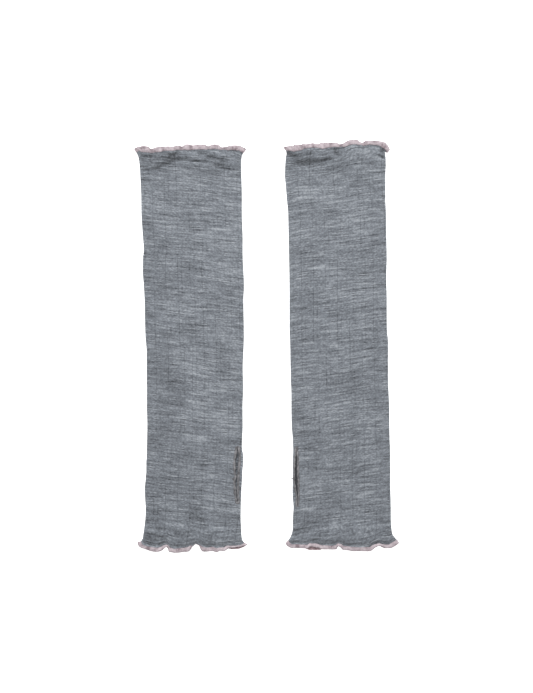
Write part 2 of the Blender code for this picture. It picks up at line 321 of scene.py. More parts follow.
class NodeBench:
    """Adds nodes to a material and joins them, so that a finish reads as a formula."""

    def __init__(self, name: str) -> None:
        """Starts a material of this name with its Principled shader."""
        self.material = bpy.data.materials.new(name)
        self.material.use_nodes = True
        self.tree = self.material.node_tree

    def join(self, source: object, socket: bpy.types.NodeSocket) -> None:
        """Sets a socket from a number, a tuple, a formula or another node's socket.

        Args:
            source: The value, or what gives it.
            socket: The input socket.
        """
        if isinstance(source, Formula):
            source = source.socket
        if isinstance(source, bpy.types.NodeSocket):
            self.tree.links.new(source, socket)
        else:
            socket.default_value = source

    def node(self, kind: str, inputs: dict[str | int, object], **settings: str) -> bpy.types.Node:
        """Adds a node.

        Args:
            kind: The end of its type's name.
            inputs: What goes into its sockets, by their names or numbers.
            **settings: Its settings, made before its sockets are joined.

        Returns:
            The node.
        """
        made = self.tree.nodes.new(f"ShaderNode{kind}")
        for name, value in settings.items():
            setattr(made, name, value)
        for socket, source in inputs.items():
            self.join(source, made.inputs[socket])
        return made

    def math(self, operation: str, *values: object) -> Formula:
        """Adds a Math node of this operation for these values."""
        node = self.node("Math", dict(enumerate(values)), operation=operation)
        return Formula(self, node.outputs[0])

    def weighted(self, terms: Iterable[tuple[object, float]], base: object = 0.0) -> object:
        """Adds a weighted sum to a base.

        Args:
            terms: Each number or formula with its weight.
            base: The number or formula that the sum starts from.

        Returns:
            The sum.
        """
        for term, weight in terms:
            base = self.math("MULTIPLY_ADD", term, weight, base)
        return base

    def millimetres(self, place: bpy.types.NodeSocket) -> list[Formula]:
        """Splits a place into its coordinates, in millimetres."""
        split = self.node("SeparateXYZ", {0: place})
        return [self.math("DIVIDE", output, MM) for output in split.outputs]

    def uv(self, layer: str) -> list[Formula]:
        """Reads the two coordinates of a UV map of this name, in millimetres."""
        return self.millimetres(self.node("UVMap", {}, uv_map=layer).outputs["UV"])[:2]

    def height(self) -> Formula:
        """Reads the height over the surface that the pair lies on, in millimetres."""
        return self.millimetres(self.node("TexCoord", {}).outputs["Object"])[2]

    def attribute(self, name: str) -> Formula:
        """Reads a number that the mesh holds at each point."""
        return Formula(self, self.node("Attribute", {}, attribute_name=name).outputs["Fac"])

    def noise(self, across: object, along: object, detail: float = 0.0) -> Formula:
        """Adds a flat noise of unit grain.

        Args:
            across: The first coordinate, in grains.
            along: The second coordinate, in grains.
            detail: How many finer octaves the noise has.

        Returns:
            The noise, about 0.5 on average.
        """
        place = self.node("CombineXYZ", {0: across, 1: along}).outputs[0]
        inputs = {"Vector": place, "Scale": 1.0, "Detail": detail, "Roughness": OCTAVE_SHARE}
        return Formula(self, self.node("TexNoise", inputs, noise_dimensions="2D").outputs["Fac"])

    def tinted(self, colour: object, tint: Colour, share: object) -> bpy.types.NodeSocket:
        """Multiplies a colour by a tint, by a share from 0 to 1.

        Args:
            colour: The colour's socket.
            tint: The tint.
            share: The share.

        Returns:
            The tinted colour's socket.
        """
        inputs = {"Factor": share, MIX_COLOURS[0]: colour, MIX_COLOURS[1]: (*tint, 1.0)}
        return self.node("Mix", inputs, data_type="RGBA", blend_type="MULTIPLY").outputs[2]

    def ramp(self, tone: object, stops: Ramp) -> bpy.types.NodeSocket:
        """Turns a tone into a colour.

        Args:
            tone: The tone.
            stops: The tones where the colour is known, with the colours there.

        Returns:
            The colour's socket.
        """
        node = self.node("ValToRGB", {"Fac": tone})
        points = node.color_ramp.elements
        while len(points) < len(stops):
            points.new(0.5)
        for point, (place, colour) in zip(points, stops):
            point.position = place
            point.color = (*colour, 1.0)
        return node.outputs["Color"]

    def bump(self, height: object, depth: float) -> bpy.types.NodeSocket:
        """Turns a height between 0 and 1 into a bent normal.

        Args:
            height: The height.
            depth: How deep a height of 1 is, in millimetres.

        Returns:
            The normal's socket.
        """
        inputs = {"Strength": 1.0, "Distance": depth * MM, "Height": height}
        return self.node("Bump", inputs).outputs["Normal"]

    def finish(self, **sockets: object) -> bpy.types.Material:
        """Joins values and sockets to the shader's inputs.

        Args:
            **sockets: What goes into each, with underscores for the spaces in its name.

        Returns:
            The finished material.
        """
        shader = self.tree.nodes["Principled BSDF"]
        for name, source in sockets.items():
            self.join(source, shader.inputs[name.replace("_", " ").title()])
        return self.material


@dataclass(frozen=True)
class KnitFinish:
    """Fine melange knit: streaks of darker and lighter fibre along each course of stitches.

    Every course takes its own tones, long and short, because the yarn's colour changes along
    its length. Needle lines run up the cloth where a needle was left out, and each stitch is a
    V of two legs.
    """

    name: str
    course_slope: float
    wale: float = 0.78
    course: float = 0.8
    streaks: tuple[Streak, ...] = table(Streak, (24, 0.52, 0), (8, 0.42, 1.9), (1.7, 0.5, 3.7))
    row_shift: float = 7.31
    grains: float = 1.6
    grain_strength: float = 0.26
    patch: tuple[float, float] = (38.0, 21.0)
    patch_detail: float = 1.5
    patch_strength: float = 0.3
    wander_length: float = 38.0
    wander: float = 2.6
    yarn_start: float = 0.0
    first_line: float = 8.75
    line_pitch: float = 9.67
    line_width: float = 0.45
    line_lean: float = -0.01
    line_sets: tuple[tuple[float, float], ...] = ((0.0, 1.0), (3.1, 0.55))
    line_shift: float = 3.7
    line_run: float = 38.0
    line_detail: float = 2.0
    line_break: float = 0.3
    line_contrast: float = 4.0
    line_shade: float = 0.13
    line_depth: float = 0.4
    slubs: tuple[Slub, ...] = ()
    # painted shade towards each mouth, beside the hem: where it starts, how long it grows, and its
    # strength at each end
    mouth_shade_start: float = 134.0
    mouth_shade_length: float = 24.0
    forearm_painted_shade: float = 0.11
    hand_painted_shade: float = 0.05
    middle_tone: float = 0.497
    shade: float = 0.0
    shade_girth: float = 162.0
    fade: float = 0.00022
    stitch_depth: float = 0.16
    leg_beat: float = 0.35
    yarn_depth: float = 0.5
    roughness: float = 0.93
    sheen: float = 0.22
    sheen_roughness: float = 0.55
    tones: Ramp = (
        (0.0, (0.034, 0.037, 0.043)),
        (0.5, (0.157, 0.173, 0.196)),
        (1.0, (0.366, 0.391, 0.421)),
    )

    def make(self) -> bpy.types.Material:
        """Makes the material: tone = streaks + grain + patches + slubs - needle lines.

        The cloth is darker near each mouth, in its creases and on its inner face, all of it painted
        shade. The tone drifts as a cosine round the tube and evenly along it.

        Returns:
            The material.
        """
        bench = NodeBench(self.name)
        u, v = bench.uv("knit")
        run = u + self.yarn_start
        wander = bench.noise(run / self.wander_length, v / self.wander_length)
        level = bench.weighted(((v, 1.0), (run, self.course_slope), (wander, self.wander)))
        courses = level / self.course
        row_key = courses.then("FLOOR") * self.row_shift
        noises = [
            (bench.noise(run / streak.length, row_key + streak.offset), streak.strength)
            for streak in self.streaks
        ]
        yarn = noises[-1][0]
        stitches = run / self.wale
        grain = bench.noise(stitches * self.grains, courses * self.grains)
        patch = bench.noise(run / self.patch[0], level / self.patch[1], self.patch_detail)
        noises += [(grain, self.grain_strength), (patch, self.patch_strength)]
        line = self.needle_lines(bench, u, v)
        # painted shade: the tone is taken down towards each mouth, more at the forearm than at the
        # hand
        mouth_shades = [
            bench.weighted(
                ((v, way / self.mouth_shade_length),), -self.mouth_shade_start / self.mouth_shade_length
            ).then("MAXIMUM")
            for way in (1.0, -1.0)
        ]
        shades = (
            (line, -self.line_shade),
            (mouth_shades[0], -self.forearm_painted_shade),
            (mouth_shades[1], -self.hand_painted_shade),
            # the tone drifts as a cosine round the tube, darker towards one fold than the other
            ((u * (2 * math.pi / self.shade_girth)).then("COSINE"), self.shade),
            (v, self.fade),
            (bench.attribute("shade"), -1.0),
        )
        middle = self.middle_tone - sum(strength for _, strength in noises) / 2
        tone = bench.weighted((*noises, *shades), middle)
        for slub in self.slubs:
            tone = bench.weighted(((self.slub_bell(slub, u, level), slub.strength),), tone)
        height = self.stitch_height(bench, stitches, courses)
        relief = ((height, 1.0), (line, -self.line_depth), (yarn, self.yarn_depth))
        return bench.finish(
            base_color=bench.ramp(tone, self.tones),
            normal=bench.bump(bench.weighted(relief), self.stitch_depth),
            roughness=self.roughness,
            sheen_weight=self.sheen,
            sheen_roughness=self.sheen_roughness,
        )

    def slub_bell(self, slub: Slub, u: Formula, level: Formula) -> Formula:
        """How strongly a slub shows: a bell across the courses, flat-topped along them.

        Args:
            slub: The slub.
            u: Distance round the tube.
            level: Distance along it, as the courses wander.

        Returns:
            The strength, from 0 to 1.
        """
        beside = (u - slub.around) / (slub.length / 2)
        base = -slub.along - self.course_slope * (slub.around + self.yarn_start) - self.wander / 2
        above = (level + base) / (slub.width / 2)
        square = beside.then("POWER", 4.0) + above * above
        return (square * -1.0).then("EXPONENT")

    def needle_lines(self, bench: NodeBench, u: Formula, v: Formula) -> Formula:
        """Faint lines up the cloth, 1 on a line and 0 between, each fading in and out.

        A line's strength is 1 less the squared distance to the nearest multiple of the pitch in
        line widths, times a slow noise that breaks it up. The second set is fainter.

        Args:
            bench: The material being made.
            u: Distance round the tube.
            v: Distance along it.

        Returns:
            The strength.
        """
        lean = bench.weighted(((u, 1.0), (v, self.line_lean)), -self.first_line)
        strengths = []
        for offset, share in self.line_sets:
            place = (lean - offset) / self.line_pitch
            number = place.then("ROUND")
            away = (place - number).then("ABSOLUTE") * (self.line_pitch / self.line_width)
            near = bench.math("SUBTRACT", 1.0, away.then("POWER", 2.0)).then("MAXIMUM")
            key = bench.weighted(((number, self.line_shift),), offset)
            broken = bench.noise(key, v / self.line_run, self.line_detail) - self.line_break
            strengths.append(near * (broken * (self.line_contrast * share)).then("MAXIMUM"))
        return strengths[0] + strengths[1]

    def stitch_height(self, bench: NodeBench, stitches: Formula, courses: Formula) -> Formula:
        """The height of the stitches: two round legs to a wale, that slant together as a V.

        The legs are the sine of twice the wale, made positive. Along a leg the height is a cosine
        of the course, put off by the distance from the middle of the wale.

        Args:
            bench: The material being made.
            stitches: Distance round the tube in wales.
            courses: Distance along it in courses.

        Returns:
            The height.
        """
        legs = (stitches * (2 * math.pi)).then("SINE").then("ABSOLUTE")
        from_middle = (stitches.then("FRACT") - 0.5).then("ABSOLUTE")
        slant = (courses - from_middle) * (2 * math.pi)
        return legs * bench.weighted(((slant.then("COSINE"), self.leg_beat),), 1 - self.leg_beat)


@dataclass(frozen=True)
class ThreadFinish:
    """Soft overlock thread: pale along the middle of the band, darker at its rims.

    Its rims are darker, partly in the thread's own tone and partly in painted shade, with a
    painted shadow along the inner rim. Low on the surface it takes a warmer tint: painted shade,
    standing in for the light that only comes back from other threads.
    """

    name: str
    core: Colour
    light: Colour
    rim: Colour
    pitch: float
    middle_tone: float = 0.58
    mottle: tuple[float, float] = (0.25, 1.3)
    mottle_detail: float = 2.0
    mottle_strength: float = 1.8
    wrap_shift: float = 5.7
    wrap_strength: float = 0.3
    fibre: tuple[float, float] = (4.0, 2.2)
    fibre_detail: float = 1.0
    fibre_strength: float = 0.6
    fibre_depth: float = 0.06
    rim_sharpness: float = 2.5
    rim_tone_and_shade: float = 0.4
    seam_shadow_sharpness: float = 1.5
    seam_shadow_strength: float = 0.12
    bounce_shade_tint: Colour = (1.06, 0.85, 0.86)
    bounce_shade_height: float = 2.4
    roughness: float = 0.78
    sheen: float = 0.15
    sheen_roughness: float = 0.5

    def make(self) -> bpy.types.Material:
        """Makes the material: a tone that varies across the band, along it and wrap by wrap.

        Returns:
            The material.
        """
        bench = NodeBench(self.name)
        u, v = bench.uv("thread")
        mottle = bench.noise(u * self.mottle[0], v * self.mottle[1], self.mottle_detail)
        each = bench.noise((u / self.pitch).then("FLOOR") * self.wrap_shift, 0.5)
        fibre = bench.noise(u * self.fibre[0], v * self.fibre[1], self.fibre_detail)
        aside = (v - 0.5) * 2.0
        # the rims are darker, partly the thread's own tone and partly painted shade; the inner rim
        # darkens further, a painted shadow
        rimward = aside.then("ABSOLUTE").then("POWER", self.rim_sharpness)
        inward = (aside * -1.0).then("MAXIMUM").then("POWER", self.seam_shadow_sharpness)
        noises = (
            (mottle, self.mottle_strength),
            (each, self.wrap_strength),
            (fibre, self.fibre_strength),
        )
        shades = ((rimward, -self.rim_tone_and_shade), (inward, -self.seam_shadow_strength))
        middle = self.middle_tone - sum(strength for _, strength in noises) / 2
        tone = bench.weighted((*noises, *shades), middle)
        colour = bench.ramp(tone, ((0.0, self.rim), (0.5, self.core), (1.0, self.light)))
        # painted shade: low on the surface the thread is tinted warmer, as if lit only by light
        # bounced between threads
        below = bench.math("SUBTRACT", self.bounce_shade_height, bench.height())
        bounce_shade_share = below.then("MAXIMUM").then("MINIMUM", 1.0)
        return bench.finish(
            base_color=bench.tinted(colour, self.bounce_shade_tint, bounce_shade_share),
            normal=bench.bump(fibre, self.fibre_depth),
            roughness=self.roughness,
            sheen_weight=self.sheen,
            sheen_roughness=self.sheen_roughness,
        )


@dataclass
class TubeForm:
    """The shape of one flattened tube: its folds, mouths, creases and slit.

    Distances round the tube start at its left fold, cross the front and come back under. Places
    along it run from -mouth at the hand to mouth at the forearm, and are then stretched to where
    the ruffles' reaches say that the hems end.
    """

    side: Side
    folds: tuple[Fold, ...]
    ruffles: Ruffles
    slit: Slit
    creases: dict[Layer, tuple[Crease, ...]]
    swells: tuple[Swell, ...]
    wall: float = 1.0
    layer_gap: float = 0.4
    least_gap: float = 0.05
    touch_softness: float = 0.02
    mouth: float = 157.0
    stretch_start: float = 140.0
    lift_start: float = 138.0
    forearm_hem_reach: float = 2.8
    hand_hem_reach: float = 2.5
    hem_half_thickness: float = 0.75
    seam_dip: float = 1.0
    seam_dip_place: float = 1.5
    seam_dip_width: float = 1.3
    fold_fade: float = 4.0
    mouth_fade: float = 1.6
    # painted shade: the tone taken off the whole inner face, which darkens the knit seen through
    # the slit and mouths
    inside_shade: float = 0.14
    slit_wobble: float = 0.13
    slit_waves: tuple[float, ...] = (3.1, 5.3, 8.9)
    slit_seed: float = 0.3
    origin: float = field(init=False)

    def __post_init__(self) -> None:
        """Takes the left side of the tube's box as the zero of its places across."""
        self.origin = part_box(f"{self.side.value}_tube")[0].x / MM

    @property
    def flat_thickness(self) -> float:
        """The height of the flat tube: two walls and the gap between them."""
        return 2 * self.wall + self.layer_gap

    @property
    def fold_radius(self) -> float:
        """The radius of a folded side."""
        return self.flat_thickness / 2

    @property
    def fold_quarter(self) -> float:
        """The distance round a quarter turn of a folded side."""
        return self.fold_radius * math.pi / 2

    @property
    def inner_fold_is_left(self) -> bool:
        """Whether the slit lies by the left fold."""
        return self.side is Side.RIGHT

    def half_girth(self, along: Array) -> Array:
        """Half of the way round the tube: its flat width and two quarter turns.

        Args:
            along: Places along the tube.

        Returns:
            The distances.
        """
        width = table_curve(along, self.folds, "right") - table_curve(along, self.folds, "left")
        return self.half_round(width)

    def half_round(self, width: Array) -> Array:
        """Half of the way round a flat oval of this width."""
        return width - 2 * self.fold_radius + 2 * self.fold_quarter

    def flat_oval(self, arc: Array, width: Array) -> tuple[Array, Array, Array, Array]:
        """Goes round a flat oval: straight runs joined by half circles of the fold's radius.

        Args:
            arc: Distances round it from the middle of the left fold.
            width: The oval's width.

        Returns:
            The distance across, the share of the height, and the outward normal across and up.
        """
        half = self.half_round(width)
        arc = np.mod(arc, 2 * half)
        in_front = arc <= half
        from_left = np.where(in_front, arc, 2 * half - arc)
        left_turn = np.clip(from_left / self.fold_radius, 0, math.pi / 2)
        right_turn = np.clip((half - from_left) / self.fold_radius, 0, math.pi / 2)
        on_flat = np.clip(from_left - self.fold_quarter, 0, width - 2 * self.fold_radius)
        rounded = 1 - np.cos(left_turn) + np.cos(right_turn)
        across = on_flat + self.fold_radius * rounded
        up = np.minimum(np.sin(left_turn), np.sin(right_turn)) * np.where(in_front, 1, -1)
        return across, (1 + up) / 2, np.cos(right_turn) - np.cos(left_turn), up

    def ruffle(self, layer: Layer, column: str, across: Array, along: Array) -> Array:
        """Reads a column of the ruffles of whichever mouth is nearer.

        Args:
            layer: The front or the back of the mouth.
            column: The column's name.
            across: Places across the tube.
            along: Places along it.

        Returns:
            The column's values.
        """
        near = table_curve(across, self.ruffles[layer, End.HAND], column)
        far = table_curve(across, self.ruffles[layer, End.FOREARM], column)
        return np.where(along > 0, far, near)

    def cloth_reach(self, layer: Layer, across: Array, along: Array) -> Array:
        """How far the cloth itself runs: the hem's outer edge less what the tipped hem covers.

        Args:
            layer: The front or the back of the mouth.
            across: Places across the tube.
            along: Places along it.

        Returns:
            The reaches.
        """
        tip = np.radians(self.ruffle(layer, "tip", across, along))
        fullness = self.ruffle(layer, "fullness", across, along)
        hem_reach = np.where(along > 0, self.forearm_hem_reach, self.hand_hem_reach)
        ahead = hem_reach * fullness * np.cos(tip)
        aside = self.hem_half_thickness * np.minimum(fullness, 1) * np.abs(np.sin(tip))
        return self.ruffle(layer, "reach", across, along) - ahead - aside

    def beside(self, crease: Crease, across: Array, along: Array) -> tuple[Array, Array]:
        """Where places lie beside a crease, and how strongly it works there.

        Args:
            crease: The crease.
            across: Places across the tube.
            along: Places along it.

        Returns:
            The distances from its line in half widths, and a bell of that distance times a
            flat-topped bell along the crease.
        """
        heading = math.radians(crease.heading)
        ahead = (across - crease.across) * math.cos(heading)
        ahead = ahead + (along - crease.along) * math.sin(heading)
        aside = (along - crease.along) * math.cos(heading)
        aside = aside - (across - crease.across) * math.sin(heading)
        share = 2 * ahead / crease.length
        aside = 2 * aside / crease.width
        return aside, np.exp(-(aside**2) - share**4)

    def relief(self, layer: Layer, across: Array, along: Array) -> Array:
        """The rise of the cloth from its creases and swells.

        A crease's lean multiplies its bell by the distance from its line. A swell is a bell of
        the distance from its middle, and only the front has any.

        Args:
            layer: The front or the back.
            across: Places across the tube.
            along: Places along it.

        Returns:
            The rises.
        """
        rise = np.zeros(np.shape(across))
        for crease in self.creases[layer]:
            aside, bell = self.beside(crease, across, along)
            rise = rise + (crease.rise + crease.lean * aside) * bell
        for swell in self.swells if layer is Layer.FRONT else ():
            square = ((across - swell.across) / swell.wide) ** 2
            square = square + ((along - swell.along) / swell.tall) ** 2
            rise = rise + swell.rise * np.exp(-square)
        return rise

    def mouthward(self, along: Array, start: float) -> Array:
        """Eases from 0 at this distance from the tube's middle to 1 at the nearer mouth."""
        return smooth_step((abs(along) - start) / (self.mouth - start))

    def shade(self, points: Array, facing_up: Array) -> Array:
        """How much darker the knit is in its creases: each one's shade times its bell.

        Args:
            points: Places in the frame's millimetres.
            facing_up: Which of them are on the front.

        Returns:
            The tone taken off at each.
        """
        # painted shade: each crease's shade times its bell
        across, along = points[..., 0] - self.origin, points[..., 1]
        back, front = (
            sum(
                crease.shade * self.beside(crease, across, along)[1]
                for crease in self.creases[layer]
                if crease.shade
            )
            for layer in (Layer.BACK, Layer.FRONT)
        )
        return np.where(facing_up, front, back)

    def point(self, arc: Array, along: Array, depth: Array | float = 0.0) -> Array:
        """The place on the tube at a distance round it, along it and below its outer face.

        The tube is a flat oval on the floor. Towards each mouth the layers part, follow the
        heights of their hems, and stretch or shrink to meet them. The front dips beside each
        hem. Creases and swells raise or lower each layer, and the front never sinks into the
        back.

        Args:
            arc: Distances round the tube.
            along: Places along it.
            depth: Depths below the outer face.

        Returns:
            Points in the frame's millimetres.
        """
        arc, along, depth = np.broadcast_arrays(np.asarray(arc, float), along, depth)
        left = table_curve(along, self.folds, "left")
        width = table_curve(along, self.folds, "right") - left
        from_left, share, normal_across, normal_up = self.flat_oval(arc, width)
        across = left + from_left
        stretch = self.mouthward(along, self.stretch_start)
        lift = self.mouthward(along, self.lift_start)
        reaches = [self.cloth_reach(layer, across, along) for layer in (Layer.BACK, Layer.FRONT)]
        end = between(*reaches, share)
        y = along + np.sign(along) * stretch * (end - self.mouth)
        open_share = smooth_step(np.minimum(from_left, width - from_left) / self.fold_fade)
        open_share = open_share * smooth_step((self.mouth - abs(along)) / self.mouth_fade)
        half_wall = self.wall / 2
        back = lift * (self.ruffle(Layer.BACK, "height", across, along) - half_wall)
        back = back + open_share * self.relief(Layer.BACK, across, y)
        front_end = self.ruffle(Layer.FRONT, "height", across, along) + half_wall
        front = between(self.flat_thickness, front_end, lift)
        front = front + open_share * self.relief(Layer.FRONT, across, y)
        from_dip = (self.mouth - abs(along) - self.seam_dip_place) / self.seam_dip_width
        front = front - self.seam_dip * np.exp(-(from_dip**2))
        least = back + 2 * self.wall + self.least_gap
        front = (front + least + np.sqrt((front - least) ** 2 + self.touch_softness)) / 2
        x = self.origin + across - depth * normal_across
        z = between(back, front, share) - depth * normal_up
        return np.stack([x, y, z], axis=-1)

    def slit_centre(self, along: Array) -> Array:
        """The distance round the tube to the middle of the slit.

        Args:
            along: Places along the tube.

        Returns:
            The distances.
        """
        inward = table_curve(self.slit.top - along, self.slit.openings, "from_fold")
        inward = inward + self.slit_wobble * uneven(along, self.slit_waves, self.slit_seed)
        from_fold = inward - self.fold_radius + self.fold_quarter
        return from_fold if self.inner_fold_is_left else self.half_girth(along) - from_fold


def put_in_scene(name: str, data: bpy.types.ID) -> bpy.types.Object:
    """Makes an object at the origin.

    Args:
        name: Its name.
        data: Its mesh, light or camera.

    Returns:
        The object.
    """
    made = bpy.data.objects.new(name, data)
    bpy.context.scene.collection.objects.link(made)
    return made


@dataclass
class Patchwork:
    """A mesh under construction: points in millimetres, four-sided faces and their UVs.

    Shades, where it has them, are the painted shade at each point, a number that the finish reads.
    """

    points: Array
    faces: NDArray[np.int64]
    uvs: Array
    shades: Array | None = None

    def with_more(self, others: list["Patchwork"]) -> "Patchwork":
        """Puts further patchworks, none of them shaded, beside this one in one mesh.

        Args:
            others: The further patchworks.

        Returns:
            The whole.
        """
        every = [self, *others]
        starts = np.cumsum([0] + [len(one.points) for one in every[:-1]])
        return Patchwork(
            np.concatenate([one.points for one in every]),
            np.concatenate([one.faces + start for one, start in zip(every, starts)]),
            np.concatenate([one.uvs for one in every]),
        )

    def to_object(self, name: str, layer: str, material: bpy.types.Material) -> bpy.types.Object:
        """Puts the arrays into a mesh object at the origin, shaded smooth.

        Args:
            name: The object's name.
            layer: The UV map's name.
            material: Its finish.

        Returns:
            The object.
        """
        mesh = bpy.data.meshes.new(name)
        corners = self.faces.size
        mesh.vertices.add(len(self.points))
        mesh.vertices.foreach_set("co", (self.points * MM).astype(np.float32).ravel())
        mesh.loops.add(corners)
        mesh.loops.foreach_set("vertex_index", self.faces.astype(np.int32).ravel())
        mesh.polygons.add(len(self.faces))
        mesh.polygons.foreach_set("loop_start", np.arange(0, corners, 4, dtype=np.int32))
        uv_map = mesh.uv_layers.new(name=layer)
        uv_map.data.foreach_set("uv", (self.uvs * MM).astype(np.float32).ravel())
        if self.shades is not None:
            shade_map = mesh.attributes.new("shade", "FLOAT", "POINT")
            shade_map.data.foreach_set("value", self.shades.astype(np.float32))
        mesh.update(calc_edges=True)
        mesh.validate()
        mesh.shade_smooth()
        mesh.materials.append(material)
        return put_in_scene(name, mesh)


def lattice(rings: Array, around: Array, ahead: Array) -> Patchwork:
    """Joins closed rings of points into a patchwork, and the last ring to the first.

    Args:
        rings: Points by ring and place in the ring.
        around: The UVs' first number by ring and place, with one more of both to close on.
        ahead: The UVs' second number, likewise.

    Returns:
        The patchwork, with its faces in order of ring and place.
    """
    count, places = rings.shape[:2]
    ring = np.arange(count)[:, None]
    place = np.arange(places)[None, :]
    flat = np.stack([around, ahead], axis=-1)
    faces, uvs = [], []
    for down, over in ((0, 0), (0, 1), (1, 1), (1, 0)):
        faces.append((ring + down) % count * places + (place + over) % places)
        uvs.append(flat[down : down + count, over : over + places])
    return Patchwork(
        rings.reshape(-1, 3),
        np.stack(faces, axis=-1).reshape(-1, 4),
        np.stack(uvs, axis=2).reshape(-1, 4, 2),
    )


@dataclass
class KnitTube:
    """The knitted tube: an outer and an inner face, joined at both mouths and round the slit."""

    form: TubeForm
    finish: KnitFinish
    row_step: float = 1.35
    fine_step: float = 0.5
    fine_start: float = 138.0
    slit_step: float = 0.45
    lip_columns: int = 5
    slit_columns: int = 4
    flat_columns: int = 62
    turn_columns: int = 6
    hole_tip: float = 0.12
    hole_margin: float = 0.85
    hole_ease: float = 4.0
    hole_turn: float = 3.0

    def half_hole(self, along: Array) -> Array:
        """Half the width of the slit's strip of columns: the hole, and its ease past each end.

        The hole is the opening and a margin that its edging covers, with half round ends.

        Args:
            along: Places along the tube.

        Returns:
            The half widths.
        """
        slit = self.form.slit
        opening = table_curve(slit.top - along, slit.openings, "width") / 2 + self.hole_margin
        radius = slit.openings[0].width / 2 + self.hole_margin
        past = np.maximum(np.maximum(along - slit.top, slit.top - slit.length - along), 0.0)
        rounded = np.sqrt(np.maximum(1 - (past / radius) ** 2, 0.0)) * opening
        plain = radius * smooth_step((past - radius) / self.hole_ease)
        return np.maximum(np.maximum(rounded, plain), self.hole_tip)

    def rows(self) -> tuple[Array, Array]:
        """The places of the rings along the tube, and which of them border the hole.

        Returns:
            The places, and a mask of those from one tip of the hole to the other.
        """
        form = self.form
        top_tip = form.slit.top + form.slit.openings[0].width / 2 + self.hole_margin
        bottom_tip = form.slit.top - form.slit.length - form.slit.openings[-1].width / 2
        bottom_tip -= self.hole_margin
        stops = (
            (-form.mouth, self.fine_step),
            (-self.fine_start, self.row_step),
            (bottom_tip, self.slit_step),
            (bottom_tip + self.hole_turn, self.row_step),
            (top_tip - self.hole_turn, self.slit_step),
            (top_tip, self.row_step),
            (self.fine_start, self.fine_step),
            (form.mouth, self.fine_step),
        )
        runs = []
        for (start, step), (stop, _) in zip(stops[:-1], stops[1:]):
            count = max(1, round((stop - start) / step))
            runs.append(np.linspace(start, stop, count, endpoint=False))
        along = np.concatenate(runs + [[form.mouth]])
        by_hole = (along >= bottom_tip - TOUCH) & (along <= top_tip + TOUCH)
        return along, by_hole

    def arcs(self, along: Array) -> Array:
        """The distance round the tube of every column of every ring.

        Columns are evenly spaced between the inner fold, the two lips of the slit's strip, the
        outer fold's two tangents and the inner fold again.

        Args:
            along: The places of the rings.

        Returns:
            The distances, by ring and column, with the first column's again at the end.
        """
        form = self.form
        half = form.half_girth(along)
        centre = form.slit_centre(along)
        if not form.inner_fold_is_left:
            centre = half - centre
        hole = self.half_hole(along)
        knots = [0 * half, centre - hole, centre + hole, half - form.fold_quarter]
        knots += [half + form.fold_quarter, 2 * half - form.fold_quarter, 2 * half]
        counts = (self.lip_columns, self.slit_columns, self.flat_columns, self.turn_columns)
        counts += (self.flat_columns, self.turn_columns // 2)
        columns = []
        for start, stop, count in zip(knots[:-1], knots[1:], counts):
            columns.append(between(start[:, None], stop[:, None], np.arange(count) / count))
        arcs = np.concatenate(columns + [knots[-1][:, None]], axis=1)
        if form.inner_fold_is_left:
            return arcs
        return (half[:, None] - arcs)[:, ::-1]

    def build(self) -> Patchwork:
        """Works out the wall: rings up the outer face, then down the inner face, and the slit.

        Returns:
            The patchwork of the whole tube.
        """
        form = self.form
        along, by_hole = self.rows()
        arcs = self.arcs(along)
        outer = form.point(arcs[:, :-1], along[:, None])
        inner = form.point(arcs[:, :-1], along[:, None], form.wall)
        both = np.concatenate([outer, inner[::-1]])
        rows = np.concatenate([np.arange(len(along)), np.arange(len(along))[::-1], [0]])
        ahead = np.repeat(along[rows][:, None], arcs.shape[1], axis=1)
        wall = lattice(both, arcs[rows], ahead)
        half = form.half_girth(along)[:, None]
        # painted shade in the creases of the outer face
        shade = form.shade(outer, np.mod(arcs[:, :-1], 2 * half) < half)
        # painted shade: the inner face is darkened all over by inside_shade
        wall.shades = np.concatenate([shade, form.inside_shade + 0 * shade]).ravel()
        return self.open_slit(wall, np.flatnonzero(by_hole), len(along), arcs.shape[1] - 1)

    def open_slit(self, wall: Patchwork, bordering: Array, count: int, places: int) -> Patchwork:
        """Leaves out the slit's cells in both faces, and closes the wall between the two holes.

        Args:
            wall: The patchwork of the wall with no hole.
            bordering: The rings that border the hole, in order.
            count: How many rings the outer face has.
            places: How many columns a ring has.

        Returns:
            The patchwork with its slit.
        """
        first = self.lip_columns
        if not self.form.inner_fold_is_left:
            first = places - self.lip_columns - self.slit_columns
        last = first + self.slit_columns
        keep = np.ones((2 * count, places), bool)
        for rings in (bordering, 2 * count - 1 - bordering[::-1]):
            keep[rings[0] : rings[-1], first:last] = False
        across = np.arange(first, last)
        sides = (
            (bordering[:-1], first),
            (bordering[-1], across),
            (bordering[:0:-1], last),
            (bordering[0], across[::-1] + 1),
        )
        edge = [np.stack(np.broadcast_arrays(*side)) for side in sides]
        ring, place = np.concatenate(edge, axis=1)
        outside = ring * places + place
        inside = (2 * count - 1 - ring) * places + place
        rim = np.stack([inside, np.roll(inside, -1), np.roll(outside, -1), outside], axis=1)
        corner_uv = np.zeros((wall.points.shape[0], 2))
        corner_uv[wall.faces.ravel()] = wall.uvs.reshape(-1, 2)
        return Patchwork(
            wall.points,
            np.concatenate([wall.faces[keep.ravel()], rim]),
            np.concatenate([wall.uvs[keep.ravel()], corner_uv[rim]]),
            wall.shades,
        )

    def dress(self) -> bpy.types.Object:
        """Makes the tube's object with its knit."""
        name = f"{self.form.side.value}_knit_tube"
        return self.build().to_object(name, "knit", self.finish.make())


